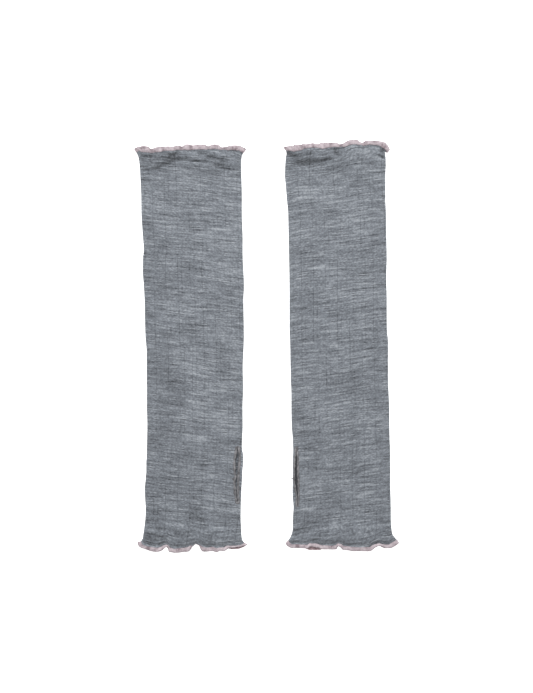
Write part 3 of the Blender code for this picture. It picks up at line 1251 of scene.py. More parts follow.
@dataclass(frozen=True)
class Wrapping:
    """How thread wraps a band: the band's section, and the ridges that the wraps make.

    A section is a flattened round: its half width and half thickness times the cosine and sine
    of the turn, each drawn out to a power. The ridges add a half cosine along the band, which
    slants across it, and the loops at the outer rim add small beads between the wraps. The
    ridges drift and the band's width varies by uneven waves, so many to its whole length.
    """

    half_width: float
    half_thickness: float
    pitch: float
    ridge: float
    bead: float
    slant: float
    sides: int = 14
    steps: int = 6
    squareness: float = 0.7
    bead_sharpness: float = 4.0
    drift: float = 0.25
    drift_waves: tuple[int, ...] = (19, 31, 47)
    unevenness: float = 0.07
    width_waves: tuple[int, ...] = (9, 23)
    width_seed: float = 0.37

    def sections(
        self,
        middle: Array,
        outward: Array,
        normal: Array,
        seed: float,
        fullness: Array | float = 1.0,
    ) -> Patchwork:
        """Carries the section along a closed path.

        Args:
            middle: The points of the path.
            outward: The direction of the outer rim at each.
            normal: The direction of the upper face at each.
            seed: Sets the unevenness.
            fullness: How wide and, up to 1, how thick the band is at each point, as a share.

        Returns:
            The patchwork of the band.
        """
        run = np.linalg.norm(np.roll(middle, -1, axis=0) - middle, axis=1)
        length = run.sum()
        place = np.concatenate([[0.0], np.cumsum(run)])[:-1]
        wraps = max(1, round(length / self.pitch))
        turn = np.arange(self.sides) * 2 * math.pi / self.sides
        wave = uneven(place, length / np.array(self.drift_waves), seed)
        phase = math.pi * wraps * place / length + self.drift * math.pi * wave
        phase = phase[:, None] + self.slant * np.cos(turn)[None, :]
        ridge = self.ridge * (np.abs(np.cos(phase)) - 0.5)
        rimward = np.maximum(np.cos(turn), 0.0)[None, :] ** self.bead_sharpness
        bead = self.bead * rimward * np.abs(np.sin(phase))
        wide, thick = (
            np.sign(part) * np.abs(part) ** self.squareness for part in (np.cos(turn), np.sin(turn))
        )
        wave = uneven(place, length / np.array(self.width_waves), seed + self.width_seed)
        grow = 1 + self.unevenness * wave
        reach = self.half_width * (fullness * grow)[:, None] * wide + ridge * np.cos(turn) + bead
        thin = self.half_thickness * (np.minimum(fullness, 1) * grow)[:, None]
        rise = thin * thick + ridge * np.sin(turn)
        rings = middle[:, None] + reach[..., None] * outward[:, None]
        rings = rings + rise[..., None] * normal[:, None]
        share = (1 + np.cos(np.append(turn, 0.0))) / 2
        around = np.repeat(np.append(place, length)[:, None], self.sides + 1, axis=1)
        across = np.repeat(share[None, :], len(place) + 1, axis=0)
        return lattice(rings, around, across)


@dataclass
class Band:
    """A wrapped band of overlock thread along an edge of a tube."""

    form: TubeForm
    wrapping: Wrapping
    finish: ThreadFinish
    seed: float

    def build(self) -> Patchwork:
        """Works out the band's mesh; each kind of band has its own way."""
        raise NotImplementedError

    def dress(self, name: str) -> bpy.types.Object:
        """Makes the band's object, of this name, with its thread."""
        return self.build().to_object(name, "thread", self.finish.make())


@dataclass
class Hem(Band):
    """The ruffled overlocked hem of one mouth of a tube."""

    end: End
    splays: tuple[float, float]
    overlap: float = 0.5
    sharpness: float = 6.0
    square_on: float = 0.35
    slack: float = 1.06

    def build(self) -> Patchwork:
        """Carries the wrapped band round the mouth.

        The band runs ahead of the cloth's edge, splayed at its left and right folded corners by
        the two splays, and tips up by its table where the ruffle is a notch.

        Returns:
            The patchwork of the hem.
        """
        form = self.form
        way = 1.0 if self.end is End.FOREARM else -1.0
        along = way * form.mouth
        girth = 2 * float(form.half_girth(np.array(along)))
        count = self.wrapping.steps * round(self.slack * girth / self.wrapping.pitch)
        arc = way * np.arange(count) * girth / count
        outer = form.point(arc, along)
        ring = form.point(arc, along, form.wall / 2)
        across = ring[:, 0]
        from_middle = 2 * (across - across.min()) / np.ptp(across) - 1
        splay = np.where(from_middle < 0, -self.splays[0], self.splays[1])
        splay = splay * np.abs(from_middle) ** self.sharpness
        ahead = ways(ring)
        level = unit(np.stack([splay, np.full(count, way), 0 * splay], axis=-1))
        outward = unit(level - self.square_on * dot(level, ahead) * ahead)
        normal = unit(outer - ring)
        normal = unit(normal - dot(normal, ahead) * ahead)
        normal = unit(normal - dot(normal, outward) * outward)
        tips, fullnesses = (
            [
                form.ruffle(layer, column, across - form.origin, np.full(count, along))
                for layer in (Layer.BACK, Layer.FRONT)
            ]
            for column in ("tip", "fullness")
        )
        level_share = np.abs(normal[:, 2])
        tip = np.where(normal[:, 2] > 0, tips[1], tips[0]) * level_share
        tip = np.radians(tip)[:, None]
        front_share = smooth_step((1 + normal[:, 2]) / 2)
        fullness = between(*fullnesses, front_share)
        upward = np.sign(normal[:, 2])[:, None]
        tipped = outward * np.cos(tip) + upward * normal * np.sin(tip)
        turned = normal * np.cos(tip) - upward * outward * np.sin(tip)
        ahead_of_cloth = self.wrapping.half_width * fullness - self.overlap
        middle = ring + tipped * ahead_of_cloth[:, None]
        return self.wrapping.sections(middle, tipped, turned, self.seed, fullness)


@dataclass
class SlitEdging(Band):
    """The overlocked edging: down one lip of the thumb slit, round its end, and up the other."""

    sink: float = 0.42
    end_points: int = 24
    lip_points: int = 160
    loop_steps: int = 36
    loop_lift: float = 0.35
    loop_rise: float = 0.3
    loop_thread: Wrapping = Wrapping(
        half_width=0.2, half_thickness=0.2, pitch=0.8, ridge=0.03, bead=0.0, slant=0.6, sides=8
    )

    def build(self) -> Patchwork:
        """Carries the wrapped band round the slit, bent to the tube's face.

        The path is two lips half an opening from the slit's middle, joined by half circles. It
        is worked out flat, round and along the tube, and each point is then put on the tube.

        Returns:
            The patchwork of the edging.
        """
        form = self.form
        slit = form.slit
        bottom = slit.top - slit.length
        lip = np.linspace(bottom, slit.top, self.lip_points)
        half = self.wrapping.half_width
        apart = table_curve(slit.top - lip, slit.openings, "width") / 2 + half
        turn = np.linspace(0, math.pi, self.end_points + 2)[1:-1]
        end = slit.openings[0].width / 2 + half
        offset = np.concatenate([apart, end * np.cos(turn), -apart[::-1], -end * np.cos(turn)])
        top_turn = slit.top + end * np.sin(turn)
        along = np.concatenate([lip, top_turn, lip[::-1], bottom - end * np.sin(turn)])
        path = np.stack([offset, along, 0 * along], axis=-1)
        length = np.linalg.norm(np.roll(path, -1, axis=0) - path, axis=1).sum()
        path = evenly(path, self.wrapping.steps * round(length / self.wrapping.pitch))
        ahead = ways(path)
        outward = np.stack([ahead[:, 1], -ahead[:, 0], 0 * ahead[:, 0]], axis=-1)
        normal = np.broadcast_to([0.0, 0.0, 1.0], path.shape)
        band = self.wrapping.sections(path, -outward, normal, self.seed)
        round_tube, down_tube, height = band.points.T
        arc = form.slit_centre(down_tube) + round_tube
        edging = Patchwork(form.point(arc, down_tube, self.sink - height), band.faces, band.uvs)
        return edging.with_more([self.stray(loop) for loop in slit.loops])

    def stray(self, loop: ThreadLoop) -> Patchwork:
        """Makes a stray loop of thread: a round section along a level, long ellipse.

        The ellipse leaves its root at the loop's heading, and bows up by half a sine.

        Args:
            loop: Its root, size and heading.

        Returns:
            The patchwork.
        """
        along = np.array(self.form.slit.top - loop.down)
        arc = self.form.slit_centre(along) + loop.around
        root = self.form.point(arc[None], along[None], -self.loop_lift)[0]
        turn = np.arange(self.loop_steps) * 2 * math.pi / self.loop_steps
        ahead = loop.length / 2 * (1 - np.cos(turn))
        aside = loop.width / 2 * np.sin(turn)
        heading = math.radians(loop.heading)
        run = ahead * math.cos(heading) - aside * math.sin(heading)
        climb = ahead * math.sin(heading) + aside * math.cos(heading)
        rise = self.loop_rise * np.sin(turn / 2)
        middle = root + np.stack([run, climb, rise], axis=-1)
        forward = ways(middle)
        outward = unit(np.cross(forward, [0.0, 0.0, 1.0]))
        return self.loop_thread.sections(middle, outward, np.cross(outward, forward), self.seed)


def unit(vectors: Array) -> Array:
    """Vectors over their lengths."""
    return vectors / np.linalg.norm(vectors, axis=-1, keepdims=True)


def dot(first: Array, second: Array) -> Array:
    """Row by row products of two sets of vectors, as a column."""
    return np.sum(first * second, axis=-1, keepdims=True)


def ways(path: Array) -> Array:
    """The direction of a closed path at each point: from the point before to the one after."""
    return unit(np.roll(path, -1, axis=0) - np.roll(path, 1, axis=0))


def evenly(path: Array, count: int) -> Array:
    """Points evenly spaced by length along a closed path.

    Args:
        path: The path's points.
        count: How many points to give.

    Returns:
        The points.
    """
    ring = np.concatenate([path, path[:1]])
    place = np.concatenate([[0.0], np.cumsum(np.linalg.norm(np.diff(ring, axis=0), axis=1))])
    wanted = np.arange(count) * place[-1] / count
    return np.stack([np.interp(wanted, place, ring[:, axis]) for axis in range(3)], axis=-1)


LEFT_FOLDS = table(
    Fold,
    (-157, 2.5, 86.6), (-153, 4.3, 84.1), (-149, 4.9, 83.5), (-144, 5.6, 83.2), (-137, 6.4, 82.9),
    (-129, 6.6, 83), (-122, 6.2, 83.2), (-114, 5.9, 83.5), (-106, 6.6, 84), (-99, 7.1, 84.3),
    (-92.5, 7.1, 84.9), (-87, 7.5, 84.9), (-81, 7.6, 83.9), (-76, 7.7, 84), (-63, 7.9, 84.5),
    (-48, 7.6, 84.4), (-33, 7.6, 84.9), (-16, 7.5, 84.6), (-4, 7.4, 85.1), (9, 6.4, 85.5),
    (29, 5.9, 85.2), (38, 5.7, 85.1), (49, 5.1, 85.6), (61, 4.3, 85.1), (70, 4.4, 84.6),
    (78, 5.1, 84.5), (88, 4.4, 84.5), (98, 3.7, 84.1), (107, 3.2, 83.9), (121, 3, 83.9),
    (133, 2.5, 83.6), (144, 1.9, 83.3), (151, 1.1, 83.5), (154.5, 0.1, 84.1), (157, -0.8, 85.2),
)
RIGHT_FOLDS = table(
    Fold,
    (-157, 2, 89.7), (-153, 4, 87.3), (-150, 5, 85.9), (-145.5, 5.9, 85.1), (-138, 6, 84.7),
    (-128, 6.5, 84.6), (-122, 6, 84.5), (-116, 5.7, 84.3), (-108, 5.8, 84.2), (-98, 5.9, 84.2),
    (-91, 5.8, 84.1), (-83, 6.2, 84.1), (-74, 5.9, 83.7), (-62, 5, 83.5), (-48, 4.8, 83.4),
    (-38, 4.8, 82.9), (-26, 4.3, 82.5), (-10, 4, 82.4), (2, 3.8, 82.5), (16, 3.3, 81.5),
    (30, 3.3, 81.4), (38, 3.3, 81.4), (56, 3.2, 81), (72, 2.9, 81.4), (92, 2.5, 81),
    (107, 2.2, 80.8), (118, 1.2, 80.3), (128, 0.4, 80.3), (138, -0.4, 80.3), (146, -0.1, 80.6),
    (151, 0.3, 80.4), (154.5, 0.9, 79.9), (157, 0.5, 81.9),
)

LEFT_RUFFLES: Ruffles = {
    (Layer.FRONT, End.FOREARM): table(
        Ruffle,
        (-0.6, 158.4, 2.4, 15, 0.95), (1.8, 159.5, 2.8, 12, 1), (3.8, 158.3, 3, 20, 0.9),
        (8, 158.1, 3.3, 20, 0.9), (12, 157.9, 3.5, 20, 0.95), (15.4, 158.8, 3.5, 8, 1.05),
        (18.6, 159.1, 3.3, 0, 1.1), (21.4, 159.6, 3.2, 0, 1.05), (24.8, 159.7, 3.2, 5),
        (28.8, 159.6, 3.3, 8), (32.6, 160.4, 3.4, 8, 0.95), (36, 159.8, 3.5, 20, 0.85),
        (39, 161, 3.4, 5, 1.2), (42, 160.9, 3.3, 0, 1.3), (44.6, 160.5, 3.3, 0, 1.1),
        (47.6, 160.9, 3.2, 0, 1.05), (50.8, 161, 3.1, 0, 1.12), (53.6, 161, 3.3, 5, 1.05),
        (55.4, 160.5, 3.6, 20, 0.95), (57.2, 160.2, 3.8, 30, 0.75), (58.8, 160.8, 3.6, 15, 1),
        (61.4, 161.2, 3.2, 0, 1.04), (64.4, 161, 3.3, 5, 1), (66.4, 160.1, 3.6, 20, 0.95),
        (68.4, 159.4, 3.7, 30, 0.65), (71.2, 159.6, 3.7, 25, 0.72), (72.8, 160, 3.6, 15, 0.95),
        (76.6, 160.5, 3.1, 0, 1.01), (80.6, 160.3, 3, 0, 1.14), (83.6, 159.1, 2.8, 0, 1.12),
        (86.4, 158, 2.6, 0, 1.11),
    ),
    (Layer.BACK, End.FOREARM): table(
        Ruffle,
        (-0.6, 158.8, 1.6, 0, 0.9), (2.4, 159.7, 1.6, 15, 0.8), (5.8, 160.7, 1.6, 20, 0.8),
        (8.6, 159.9, 1.5, 15, 0.8), (11.6, 157.5, 1, 0, 0.9), (23.4, 158.9, 1.1),
        (37.4, 158.3, 0.9), (53.4, 158.9, 1.2), (57.5, 157.9, 1), (69.4, 157.7, 0.9),
        (78, 159.3, 1), (86.4, 158.4, 1.5),
    ),
    (Layer.FRONT, End.HAND): table(
        Ruffle,
        (0.4, 156.7, 2.6, 0, 1), (2.2, 159.4, 2.8, 0, 0.92), (5, 161.2, 3, 0, 0.84),
        (9, 162.4, 3.1, 0, 0.9), (15.8, 163.7, 3.2, 0, 1.06), (18.6, 163.1, 3.5, 10, 0.92),
        (21.4, 161.4, 3.7, 35, 0.88), (23.8, 160.1, 4, 60, 0.79), (25, 161.2, 3.8, 45, 0.79),
        (26.2, 163.4, 3.5, 5, 1.01), (30.8, 164.4, 3.2, 0, 1.01), (36.2, 163.7, 3.3, 0, 0.97),
        (40.2, 163.3, 3.4, 0, 0.97), (42.6, 161.7, 3.7, -20, 0.85), (43.6, 160.7, 3.9, -45, 0.7),
        (44.6, 159.8, 4.1, -85, 0.4), (46.8, 157.7, 4.2, -100, 0.3), (49.4, 158.9, 4.1, -85, 0.35),
        (50.5, 160.6, 3.9, -40, 0.7), (51.4, 162, 3.7, -15, 0.9), (52.8, 163.1, 3.5),
        (55.4, 163.4, 3.3, 0, 0.88), (60.6, 162.9, 3.3, 0, 0.92), (63.6, 163.8, 3.2, 0, 0.92),
        (66.2, 162.9, 3.3, 0, 0.84), (69, 163, 3.2, 0, 0.88), (72.6, 161.2, 3.5, 10, 0.75),
        (75.2, 160.7, 3.6, 15, 0.55), (79.4, 160.3, 3.6, 20, 0.5), (83, 159.9, 3.4, 15, 0.55),
        (86.9, 159.4, 2.9, 8, 0.95),
    ),
    (Layer.BACK, End.HAND): table(
        Ruffle,
        (0.4, 156.6, 1.6, 0, 0.9), (11.4, 161.3, 0.9), (23.9, 158.5, 1.2), (35.4, 162.1, 0.9),
        (46.9, 155.5, 1.1), (61.4, 161.3, 0.9), (71, 160.9, 0.9, 0, 0.8), (76, 161.9, 1, 0, 0.7),
        (80, 161.8, 1, 0, 0.7), (83.4, 160.8, 1.2, 0, 0.7), (86.9, 159.3, 1.5, 10, 0.6),
    ),
}
RIGHT_RUFFLES: Ruffles = {
    (Layer.FRONT, End.FOREARM): table(
        Ruffle,
        (-0.9, 160.9, 2.6, 10, 0.95), (0.9, 159.9, 2.9, 8), (4.1, 159.9, 3.4, 0, 1.2),
        (6.5, 159.6, 3.4, 0, 1.2), (8.9, 160.7, 3.3, 0, 1.45), (11.8, 160.9, 3.3, 0, 1.35),
        (13.2, 160.9, 3.4, 5, 1.1), (15.2, 161.6, 3.3, 5), (17.2, 161.6, 3.4, 5, 1),
        (20.2, 162, 3.2, 0, 0.95), (22, 162.2, 3.1), (26.4, 161.6, 3.4, 8, 0.87),
        (28.2, 162.3, 3.4, 0, 1.2), (30, 161.9, 3.4, 0, 1.25), (32.4, 162.4, 3.4, 0, 1.3),
        (35.2, 162.5, 3.3, 0, 1.08), (40.4, 162.8, 3.3, 0, 1.11), (42.2, 162.2, 3.4, 8, 0.9),
        (43.6, 161.7, 3.6, 12, 0.68), (45.7, 162.1, 3.7, 12, 0.72), (46.8, 162.5, 3.5, 10, 0.95),
        (49.2, 163.5, 3.3), (52, 164.6, 3.2, 0, 1.06), (56.8, 164.9, 3.4, 0, 1.05),
        (58.4, 164.2, 3.5, 8, 0.95), (59.6, 163.6, 3.6, 12, 0.75), (61.1, 163.1, 3.7, 12, 0.66),
        (62.6, 163.2, 3.5, 10, 0.85), (64.6, 164.1, 3.3, 5, 0.92), (68, 164.4, 3.2, 0, 0.92),
        (72, 164.2, 3.2, 0, 0.97), (75, 163.9, 3.4, 0, 1.1), (77.6, 163, 3.7, 0, 1.3),
        (79.4, 161.7, 3.8, -10, 1.12), (81.4, 159.1, 3.8, -10, 1), (83.5, 156.5, 3.2, 0, 1.1),
    ),
    (Layer.BACK, End.FOREARM): table(
        Ruffle,
        (-0.9, 160.2, 1.6), (10.9, 159.3, 0.9), (26.9, 160.1, 1.2), (40.9, 159.5, 0.9),
        (45.2, 158.9, 0.9), (54.9, 162.1, 1.1), (60.5, 160.5, 1), (68.9, 162.1, 0.9),
        (78, 161.3, 1), (83.5, 157.3, 1.6),
    ),
    (Layer.FRONT, End.HAND): table(
        Ruffle,
        (0.3, 156.9, 2.6, 0, 0.79), (2.8, 159, 2.8, 0, 0.97), (5.7, 160.7, 3, 0, 0.88),
        (9.6, 160.6, 3.1, 0, 0.81), (14.4, 160.8, 3.2, 0, 0.88), (17.4, 160.9, 3.5, 10, 0.84),
        (20, 159.6, 3.9, 10, 0.84), (24, 159.9, 4, 10, 0.84), (27, 160.6, 3.7, 5, 0.84),
        (29.6, 161.5, 3.4, 0, 0.92), (33.2, 161.6, 3.2, 0, 0.88), (37, 161.8, 3.2, 0, 0.92),
        (40.2, 161.5, 3.4, 0, 0.97), (42.4, 159.5, 3.9, 45, 0.79), (44.2, 160.2, 3.8, 35, 0.84),
        (46.6, 161.9, 3.5, 0, 0.88), (50.2, 162.4, 3.2, 0, 0.88), (54.4, 163, 3.2, 0, 0.97),
        (62, 163.1, 3.1, 0, 0.92), (67, 163.1, 3.2, 0, 0.97), (69.6, 161.8, 3.5, 10, 0.92),
        (72.2, 160.2, 3.8, 40, 0.75), (75, 159.2, 4, 50, 0.75), (77.4, 160.2, 3.6, 25, 0.79),
        (79.6, 160.8, 3.2, 0, 0.92), (82.8, 160.8, 3.1, 0, 0.92), (86.6, 159, 3, 0, 1.01),
        (89.7, 157, 2.7, 0, 0.88),
    ),
    (Layer.BACK, End.HAND): table(
        Ruffle,
        (0.3, 157.3, 1.6), (10.9, 159.3, 0.9), (17, 161.3, 0.9, 0, 0.9), (20, 162.4, 0.9, 0, 0.9),
        (27.4, 162.4, 0.9, 0, 0.9), (30, 160.5, 1), (42.9, 157.7, 0.9), (58.9, 161.1, 1.2),
        (74.9, 157.5, 0.9), (82, 159.7, 1), (89.7, 157.4, 1.5),
    ),
}

LEFT_SLIT = Slit(
    top=-81.2,
    length=42.6,
    openings=table(
        Opening,
        (0, 0.2, 3.4), (4, 1, 4.3), (8, 2.2, 4.8), (12, 2.1, 5), (15, 1.6, 4.9), (19, 1.4, 4.6),
        (22.4, 0.3, 4.4), (26, 1.2, 4.5), (29, 1, 4.3), (33, 0.6, 4.1), (39, 0.3, 3.4),
        (42.6, 0.2, 2.9),
    ),
    loops=table(
        ThreadLoop,
        (0.6, 21, 2.4, 1.2, 60), (1.6, 32.8, 2.4, 0.8, 15), (-1.8, 24, 1.9, 0.9, 200),
    ),
)
RIGHT_SLIT = Slit(
    top=-81.5,
    length=45.6,
    openings=table(
        Opening,
        (0, 0.05, 2.8), (4.4, 0.08, 2.9), (6.2, 0.7, 3), (12.5, 1.3, 2.9), (19, 1.6, 2.8),
        (22.3, 1.7, 2.7), (25.3, 2, 3), (31.7, 1.4, 3.5), (34.9, 1, 3.9), (38, 0.4, 4),
        (41.3, 0.1, 3.7), (45.6, 0.1, 3.1),
    ),
    loops=table(
        ThreadLoop,
        (-0.9, 23.7, 3.1, 0.6, 186), (-1.2, 24.6, 2, 1.2, 110), (1.5, 22.2, 2, 1.2, -50),
        (0.9, 39, 2.4, 0.8, -100),
    ),
)

LEFT_CREASES = {
    Layer.FRONT: table(
        Crease,
        (22.4, 146.2, 24, 22, 4.2, -0.3, 1.5, 0.12), (20.5, 144.6, 22, 24, 9, -0.4, 0.7, 0.13),
        (35.6, 149.8, 3, 13, 3.4, -0.3, 1, 0.14), (49.8, 148.4, -3, 14, 2.6, -0.3, 1.2, 0.22),
        (28.6, 153.3, 35, 11, 4.4, -0.5, 1.5, 0.24), (8.2, 152.6, 0, 16, 3.4, -0.5, 1.6, 0.22),
        (52.6, 154.8, 0, 9, 3.4, -0.5, 1.3, 0.3), (59.3, 152, 0, 8, 2.6, -0.3, 0.5, 0.08),
        (62.8, 149.2, -20, 16, 9, -0.5, 0.8, 0.2), (69, 142.4, -4, 15, 4, -0.3, 0.4, 0.08),
        (69, 143.8, -6, 16, 8, -0.2, 0.3, 0.1), (5.6, 141.3, 8, 8, 2.8, -0.3, 1.4, 0.1),
        (6, 134.6, 5, 9, 3.2, -0.3, 1, 0.2), (43.2, 130.2, -6, 11, 1.7, -0.2, 0.6, 0.2),
        (16.2, 70, 90, 26, 6, -0.6), (20, -79.6, 70, 22, 12, -0.6),
        (14.2, -132.7, -8, 10, 2, -0.2, 1.4, 0.22), (9.8, -149.4, -10, 10, 2.8, -0.4, 1.8, 0.1),
        (21, -152.2, -25, 6, 2.6, -0.3, 1.2, 0.1), (13, -153.5, 0, 18, 9, -0.3, 1.2, 0.02),
        (69, -141.8, -10, 13, 5, -0.5, 1.4), (64.6, -148.3, 0, 11, 2.4, -0.2, 1.2),
        (79.4, -154.8, -4, 9, 2.6, -0.5, 1), (58.8, -158.6, 0, 20, 2.2, -0.5, 0.3),
    ),
    Layer.BACK: table(
        Crease,
        (30, 120, 20, 30, 5, 0.25), (60, 60, 95, 40, 6, 0.22), (40, -30, 10, 26, 4, 0.2),
        (25, -110, -15, 30, 5, 0.25), (58, -142, 8, 22, 3, 0.25),
    ),
}
RIGHT_CREASES = {
    Layer.FRONT: table(
        Crease,
        (4.6, 154.7, 0, 8, 2.2, -0.2, 1.2, 0.3), (4.6, 152.5, 0, 8, 2.2, -0.2, 1.6, 0.2),
        (20.5, 147.7, 9, 26, 5.6, -0.4, 1.3, 0.12), (18, 147.4, 9, 22, 9, -0.5, 0.7, 0.17),
        (33.3, 149.9, 12, 8, 4.2, -0.6, 1.8, 0.1), (40.3, 156, 100, 7, 3.6, -0.6, 0, 0.24),
        (15.2, 153.9, 8, 17, 3, -0.3, 0.8, 0.12), (55.3, 147.7, 10, 20, 2, -0.2, 1),
        (72, 150.6, 8, 14, 1.8, -0.2, 0.9), (77.6, 156.9, -10, 5, 3.4, -0.8, 1, 0.7),
        (76.4, 152.3, -20, 8, 2.8, -0.5, 2, 0.2), (73, 139.1, 3, 13, 1.8, -0.2, 1.3),
        (74.9, 131.5, 3, 9, 2.2, -0.2, 1.4, 0.08), (25.7, 33.8, 13, 31, 2.6, -0.2, 1),
        (27.3, -76.2, 5, 19, 3, -0.2, 1, 0.08), (55.7, -102, 10, 12, 3.4, -0.4, 0.8, 0.06),
        (10.3, -147.8, 60, 10, 7, -1, 0, 0.06), (24, -153.8, 4, 9, 2.4, -0.5, 1.9),
        (21.9, -140.9, 0, 9, 2, -0.2, 1.2), (42, -154.5, -70, 8, 3, -0.6),
        (49.2, -158.8, -3, 11, 2.4, -1, 0.7), (74, -156.7, 15, 9, 2.8, -1.1, 0.9),
        (76, -148, 75, 9, 4, -0.9), (76.5, -140.4, 80, 10, 4, -0.8),
    ),
    Layer.BACK: table(
        Crease,
        (45, 125, -18, 32, 5, 0.25), (25, 50, 88, 40, 6, 0.22), (50, -20, -8, 26, 4, 0.2),
        (60, -105, 14, 30, 5, 0.25), (28, -143, -6, 22, 3, 0.25),
    ),
}
LEFT_SWELLS = table(
    Swell,
    (42, 147, 60, 12, 1.3), (42, -150, 60, 9, 1.3), (40, 100, 30, 45, 0.5),
    (60, 20, 22, 40, 0.45), (28, 0, 16, 30, 0.4), (45, -60, 26, 30, 0.5),
    (38, -125, 24, 20, 0.45),
)
RIGHT_SWELLS = table(
    Swell,
    (40, 148, 60, 12, 1.3), (44, -149, 60, 9, 1.3), (38, 110, 28, 40, 0.5),
    (50, 40, 20, 36, 0.4), (28, -10, 18, 30, 0.45), (50, -65, 24, 34, 0.5),
    (45, -125, 26, 20, 0.45),
)

LEFT_KNIT = KnitFinish(
    name="left_melange_knit",
    course_slope=0.105,
    yarn_start=158.0,
    middle_tone=0.48,
    shade=-0.035,
    slubs=table(
        Slub,
        (65.6, 92.9, 15, 1.8, 0.36), (43, 75, 19, 1.8, 0.22), (37, -22, 14, 1.2, 0.16),
        (24.5, 133, 13, 18, -0.06), (49, 134, 13, 18, 0.06), (49, 88, 15, 34, 0.05),
        (31, -10, 24, 30, 0.06), (73, -11, 13, 28, 0.07), (37, -47, 13, 38, 0.08),
        (52, -135, 20, 24, 0.1),
    ),
)
RIGHT_KNIT = KnitFinish(
    name="right_melange_knit",
    course_slope=-0.12,
    first_line=0.7,
    line_pitch=9.6,
    line_lean=-0.002,
    slubs=table(
        Slub,
        (52, 101.2, 13, 1.6, 0.18), (26, 62.4, 20, 1.2, 0.18), (45, -45, 14, 1.2, 0.14),
        (10, 151, 24, 12, -0.08), (68, 150, 32, 17, 0.2), (11, 133, 14, 18, -0.06),
        (71, 85, 13, 30, -0.05), (29, 53, 24, 36, 0.07), (59, -58, 14, 70, 0.06),
        (71, -135, 13, 22, -0.06), (35, -144, 15, 26, 0.09),
    ),
)
# painted shade on the right tube's inner face, darker than the left's
RIGHT_INSIDE_SHADE = 0.7
PLAIN_SPLAYS = (0.75, 0.75)
CORNER_SPLAYS = {(Side.LEFT, End.HAND): (2.6, 1.7)}
HAND_WRAPPING = Wrapping(
    half_width=1.75, half_thickness=0.75, pitch=0.95, ridge=0.16, bead=0.18, slant=0.7
)
HEM_WRAPPINGS = {
    End.FOREARM: replace(HAND_WRAPPING, half_width=1.9, bead=0.12),
    End.HAND: HAND_WRAPPING,
}
LEFT_EDGING_WRAPPING = Wrapping(
    half_width=1.05,
    half_thickness=0.62,
    pitch=0.8,
    ridge=0.12,
    bead=0.08,
    slant=0.6,
    sides=12,
    unevenness=0.2,
)
EDGING_WRAPPINGS = {
    Side.LEFT: LEFT_EDGING_WRAPPING,
    Side.RIGHT: replace(LEFT_EDGING_WRAPPING, half_width=0.8),
}
HEM_FINISH = ThreadFinish(
    name="pink_overlock_thread",
    core=(0.338, 0.287, 0.308),
    light=(0.47, 0.409, 0.433),
    rim=(0.16, 0.118, 0.134),
    pitch=HAND_WRAPPING.pitch,
)
EDGING_FINISH = ThreadFinish(
    name="mauve_overlock_thread",
    core=(0.113, 0.113, 0.12),
    light=(0.205, 0.2, 0.212),
    rim=(0.052, 0.05, 0.055),
    pitch=LEFT_EDGING_WRAPPING.pitch,
)


@dataclass
class Warmer:
    """One wrist warmer: its tube, its two hems and its slit's edging."""

    form: TubeForm
    knit: KnitFinish
    seed: float

    def dress(self) -> list[bpy.types.Object]:
        """Builds and places every piece of the warmer.

        Returns:
            The warmer's pieces.
        """
        side = self.form.side.value
        tube = KnitTube(self.form, self.knit).dress()
        hems = []
        for end in End:
            splays = CORNER_SPLAYS.get((self.form.side, end), PLAIN_SPLAYS)
            hem = Hem(self.form, HEM_WRAPPINGS[end], HEM_FINISH, self.seed, end, splays)
            hems.append(hem.dress(f"{side}_{end.value}_overlock"))
            place_piece(hems[-1], f"{side}_{end.value}_hem")
        wrapping = EDGING_WRAPPINGS[self.form.side]
        edging = SlitEdging(self.form, wrapping, EDGING_FINISH, self.seed)
        edging = edging.dress(f"{side}_slit_overlock")
        place_piece(edging, f"{side}_thumb_edging")
        place_piece(tube, f"{side}_tube")
        length = 2 * self.form.mouth * MM
        girth = 2 * float(self.form.half_girth(np.array(0.0))) * MM
        return [tube, *hems, edging]


def place_piece(piece: bpy.types.Object, node: str) -> None:
    """Puts a piece in place of its CAD node, and logs how far it passes that node's box.

    Args:
        piece: The piece.
        node: The CAD node that it stands for.
    """
    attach(piece, "root")
    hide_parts(node)
    places = np.empty(3 * len(piece.data.vertices), np.float32)
    piece.data.vertices.foreach_get("co", places)
    places = places.reshape(-1, 3) / MM
    low, high = np.array(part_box(node)) / MM
    past = float(np.max([low - places.min(axis=0), places.max(axis=0) - high]))
    faces = len(piece.data.polygons)
    LOG.info("%s: %d faces, at most %.1f mm past the box of %s", piece.name, faces, past, node)


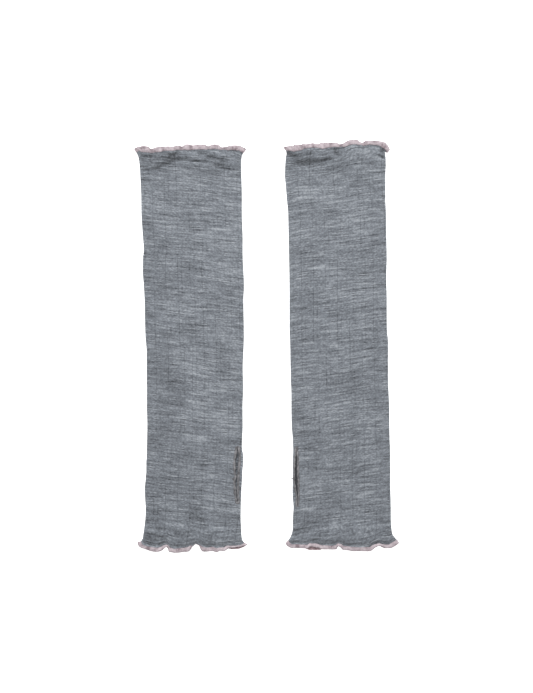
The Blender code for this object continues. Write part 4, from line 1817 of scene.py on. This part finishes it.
@dataclass
class Studio:
    """The floor, the lights and the camera round the pair."""

    view_height: float = 0.5544
    lens: float = 85.0
    sensor: float = 36.0
    cloth_top: float = 2.4 * MM
    floor_size: float = 8.0
    floor_colour: Colour = (0.93, 0.93, 0.93)
    floor_roughness: float = 0.9
    floor_gloss: float = 0.2
    floor_glow: float = 0.85
    sky_strength: float = 0.56
    key_power: float = 72.0
    key_size: float = 1.3
    key_place: tuple[float, float, float] = (-0.3, 1.45, 2.0)

    def build(self) -> None:
        """Builds the floor under the pair, the soft key light, the sky and the camera."""
        low, high = CAD_BOUNDS
        middle = ((low[0] + high[0]) / 2, (low[1] + high[1]) / 2)
        self.make_floor(low[2])
        self.make_light(middle)
        self.make_sky()
        self.make_camera(middle)
        bpy.context.scene.view_settings.view_transform = "Standard"

    def make_floor(self, height: float) -> None:
        """Lays a plain pale floor.

        Args:
            height: Where the pair rests.
        """
        half = self.floor_size / 2
        corners = ((-half, -half), (half, -half), (half, half), (-half, half))
        mesh = bpy.data.meshes.new("floor")
        mesh.from_pydata([(*corner, height) for corner in corners], [], [(0, 1, 2, 3)])
        material = bpy.data.materials.new("pale_floor")
        material.use_nodes = True
        shader = material.node_tree.nodes["Principled BSDF"]
        shader.inputs["Base Color"].default_value = (*self.floor_colour, 1.0)
        shader.inputs["Roughness"].default_value = self.floor_roughness
        shader.inputs["Specular IOR Level"].default_value = self.floor_gloss
        shader.inputs["Emission Color"].default_value = WHITE
        shader.inputs["Emission Strength"].default_value = self.floor_glow
        mesh.materials.append(material)
        put_in_scene("floor", mesh)

    def make_light(self, middle: tuple[float, float]) -> None:
        """Hangs a square soft light past the forearm ends, aimed at the pair.

        Args:
            middle: The middle of the pair.
        """
        data = bpy.data.lights.new("key", "AREA")
        data.energy = self.key_power
        data.size = self.key_size
        light = put_in_scene("key", data)
        aside, past, height = self.key_place
        place = Vector((middle[0] + aside, middle[1] + past, height))
        light.location = place
        aim = Vector((*middle, 0.0)) - place
        light.rotation_euler = aim.to_track_quat("-Z", "Y").to_euler()

    def make_sky(self) -> None:
        """Lights the pair evenly from all round."""
        world = bpy.data.worlds.new("studio")
        world.use_nodes = True
        background = world.node_tree.nodes["Background"]
        background.inputs["Color"].default_value = WHITE
        background.inputs["Strength"].default_value = self.sky_strength
        bpy.context.scene.world = world

    def make_camera(self, middle: tuple[float, float]) -> None:
        """Hangs the camera straight above, so that its view is view_height tall at the cloth's top.

        Args:
            middle: The middle of the pair.
        """
        data = bpy.data.cameras.new("camera")
        data.lens = self.lens
        data.sensor_width = self.sensor
        data.sensor_fit = "AUTO"
        camera = put_in_scene("camera", data)
        camera.location = (*middle, self.view_height * self.lens / self.sensor + self.cloth_top)
        bpy.context.scene.camera = camera


def main() -> None:
    """Builds the pair and the studio, and writes how the looks fit the frame."""
    logging.basicConfig(level=logging.INFO, format="%(name)s: %(message)s")
    left = TubeForm(Side.LEFT, LEFT_FOLDS, LEFT_RUFFLES, LEFT_SLIT, LEFT_CREASES, LEFT_SWELLS)
    right = TubeForm(
        Side.RIGHT,
        RIGHT_FOLDS,
        RIGHT_RUFFLES,
        RIGHT_SLIT,
        RIGHT_CREASES,
        RIGHT_SWELLS,
        inside_shade=RIGHT_INSIDE_SHADE,
    )
    warmers = (Warmer(left, LEFT_KNIT, seed=0.2), Warmer(right, RIGHT_KNIT, seed=0.7))
    Studio().build()
    for warmer in warmers:
        pieces = warmer.dress()
        LOG.info("%s warmer: %d pieces", warmer.form.side.value, len(pieces))


if __name__ == "__main__":
    main()
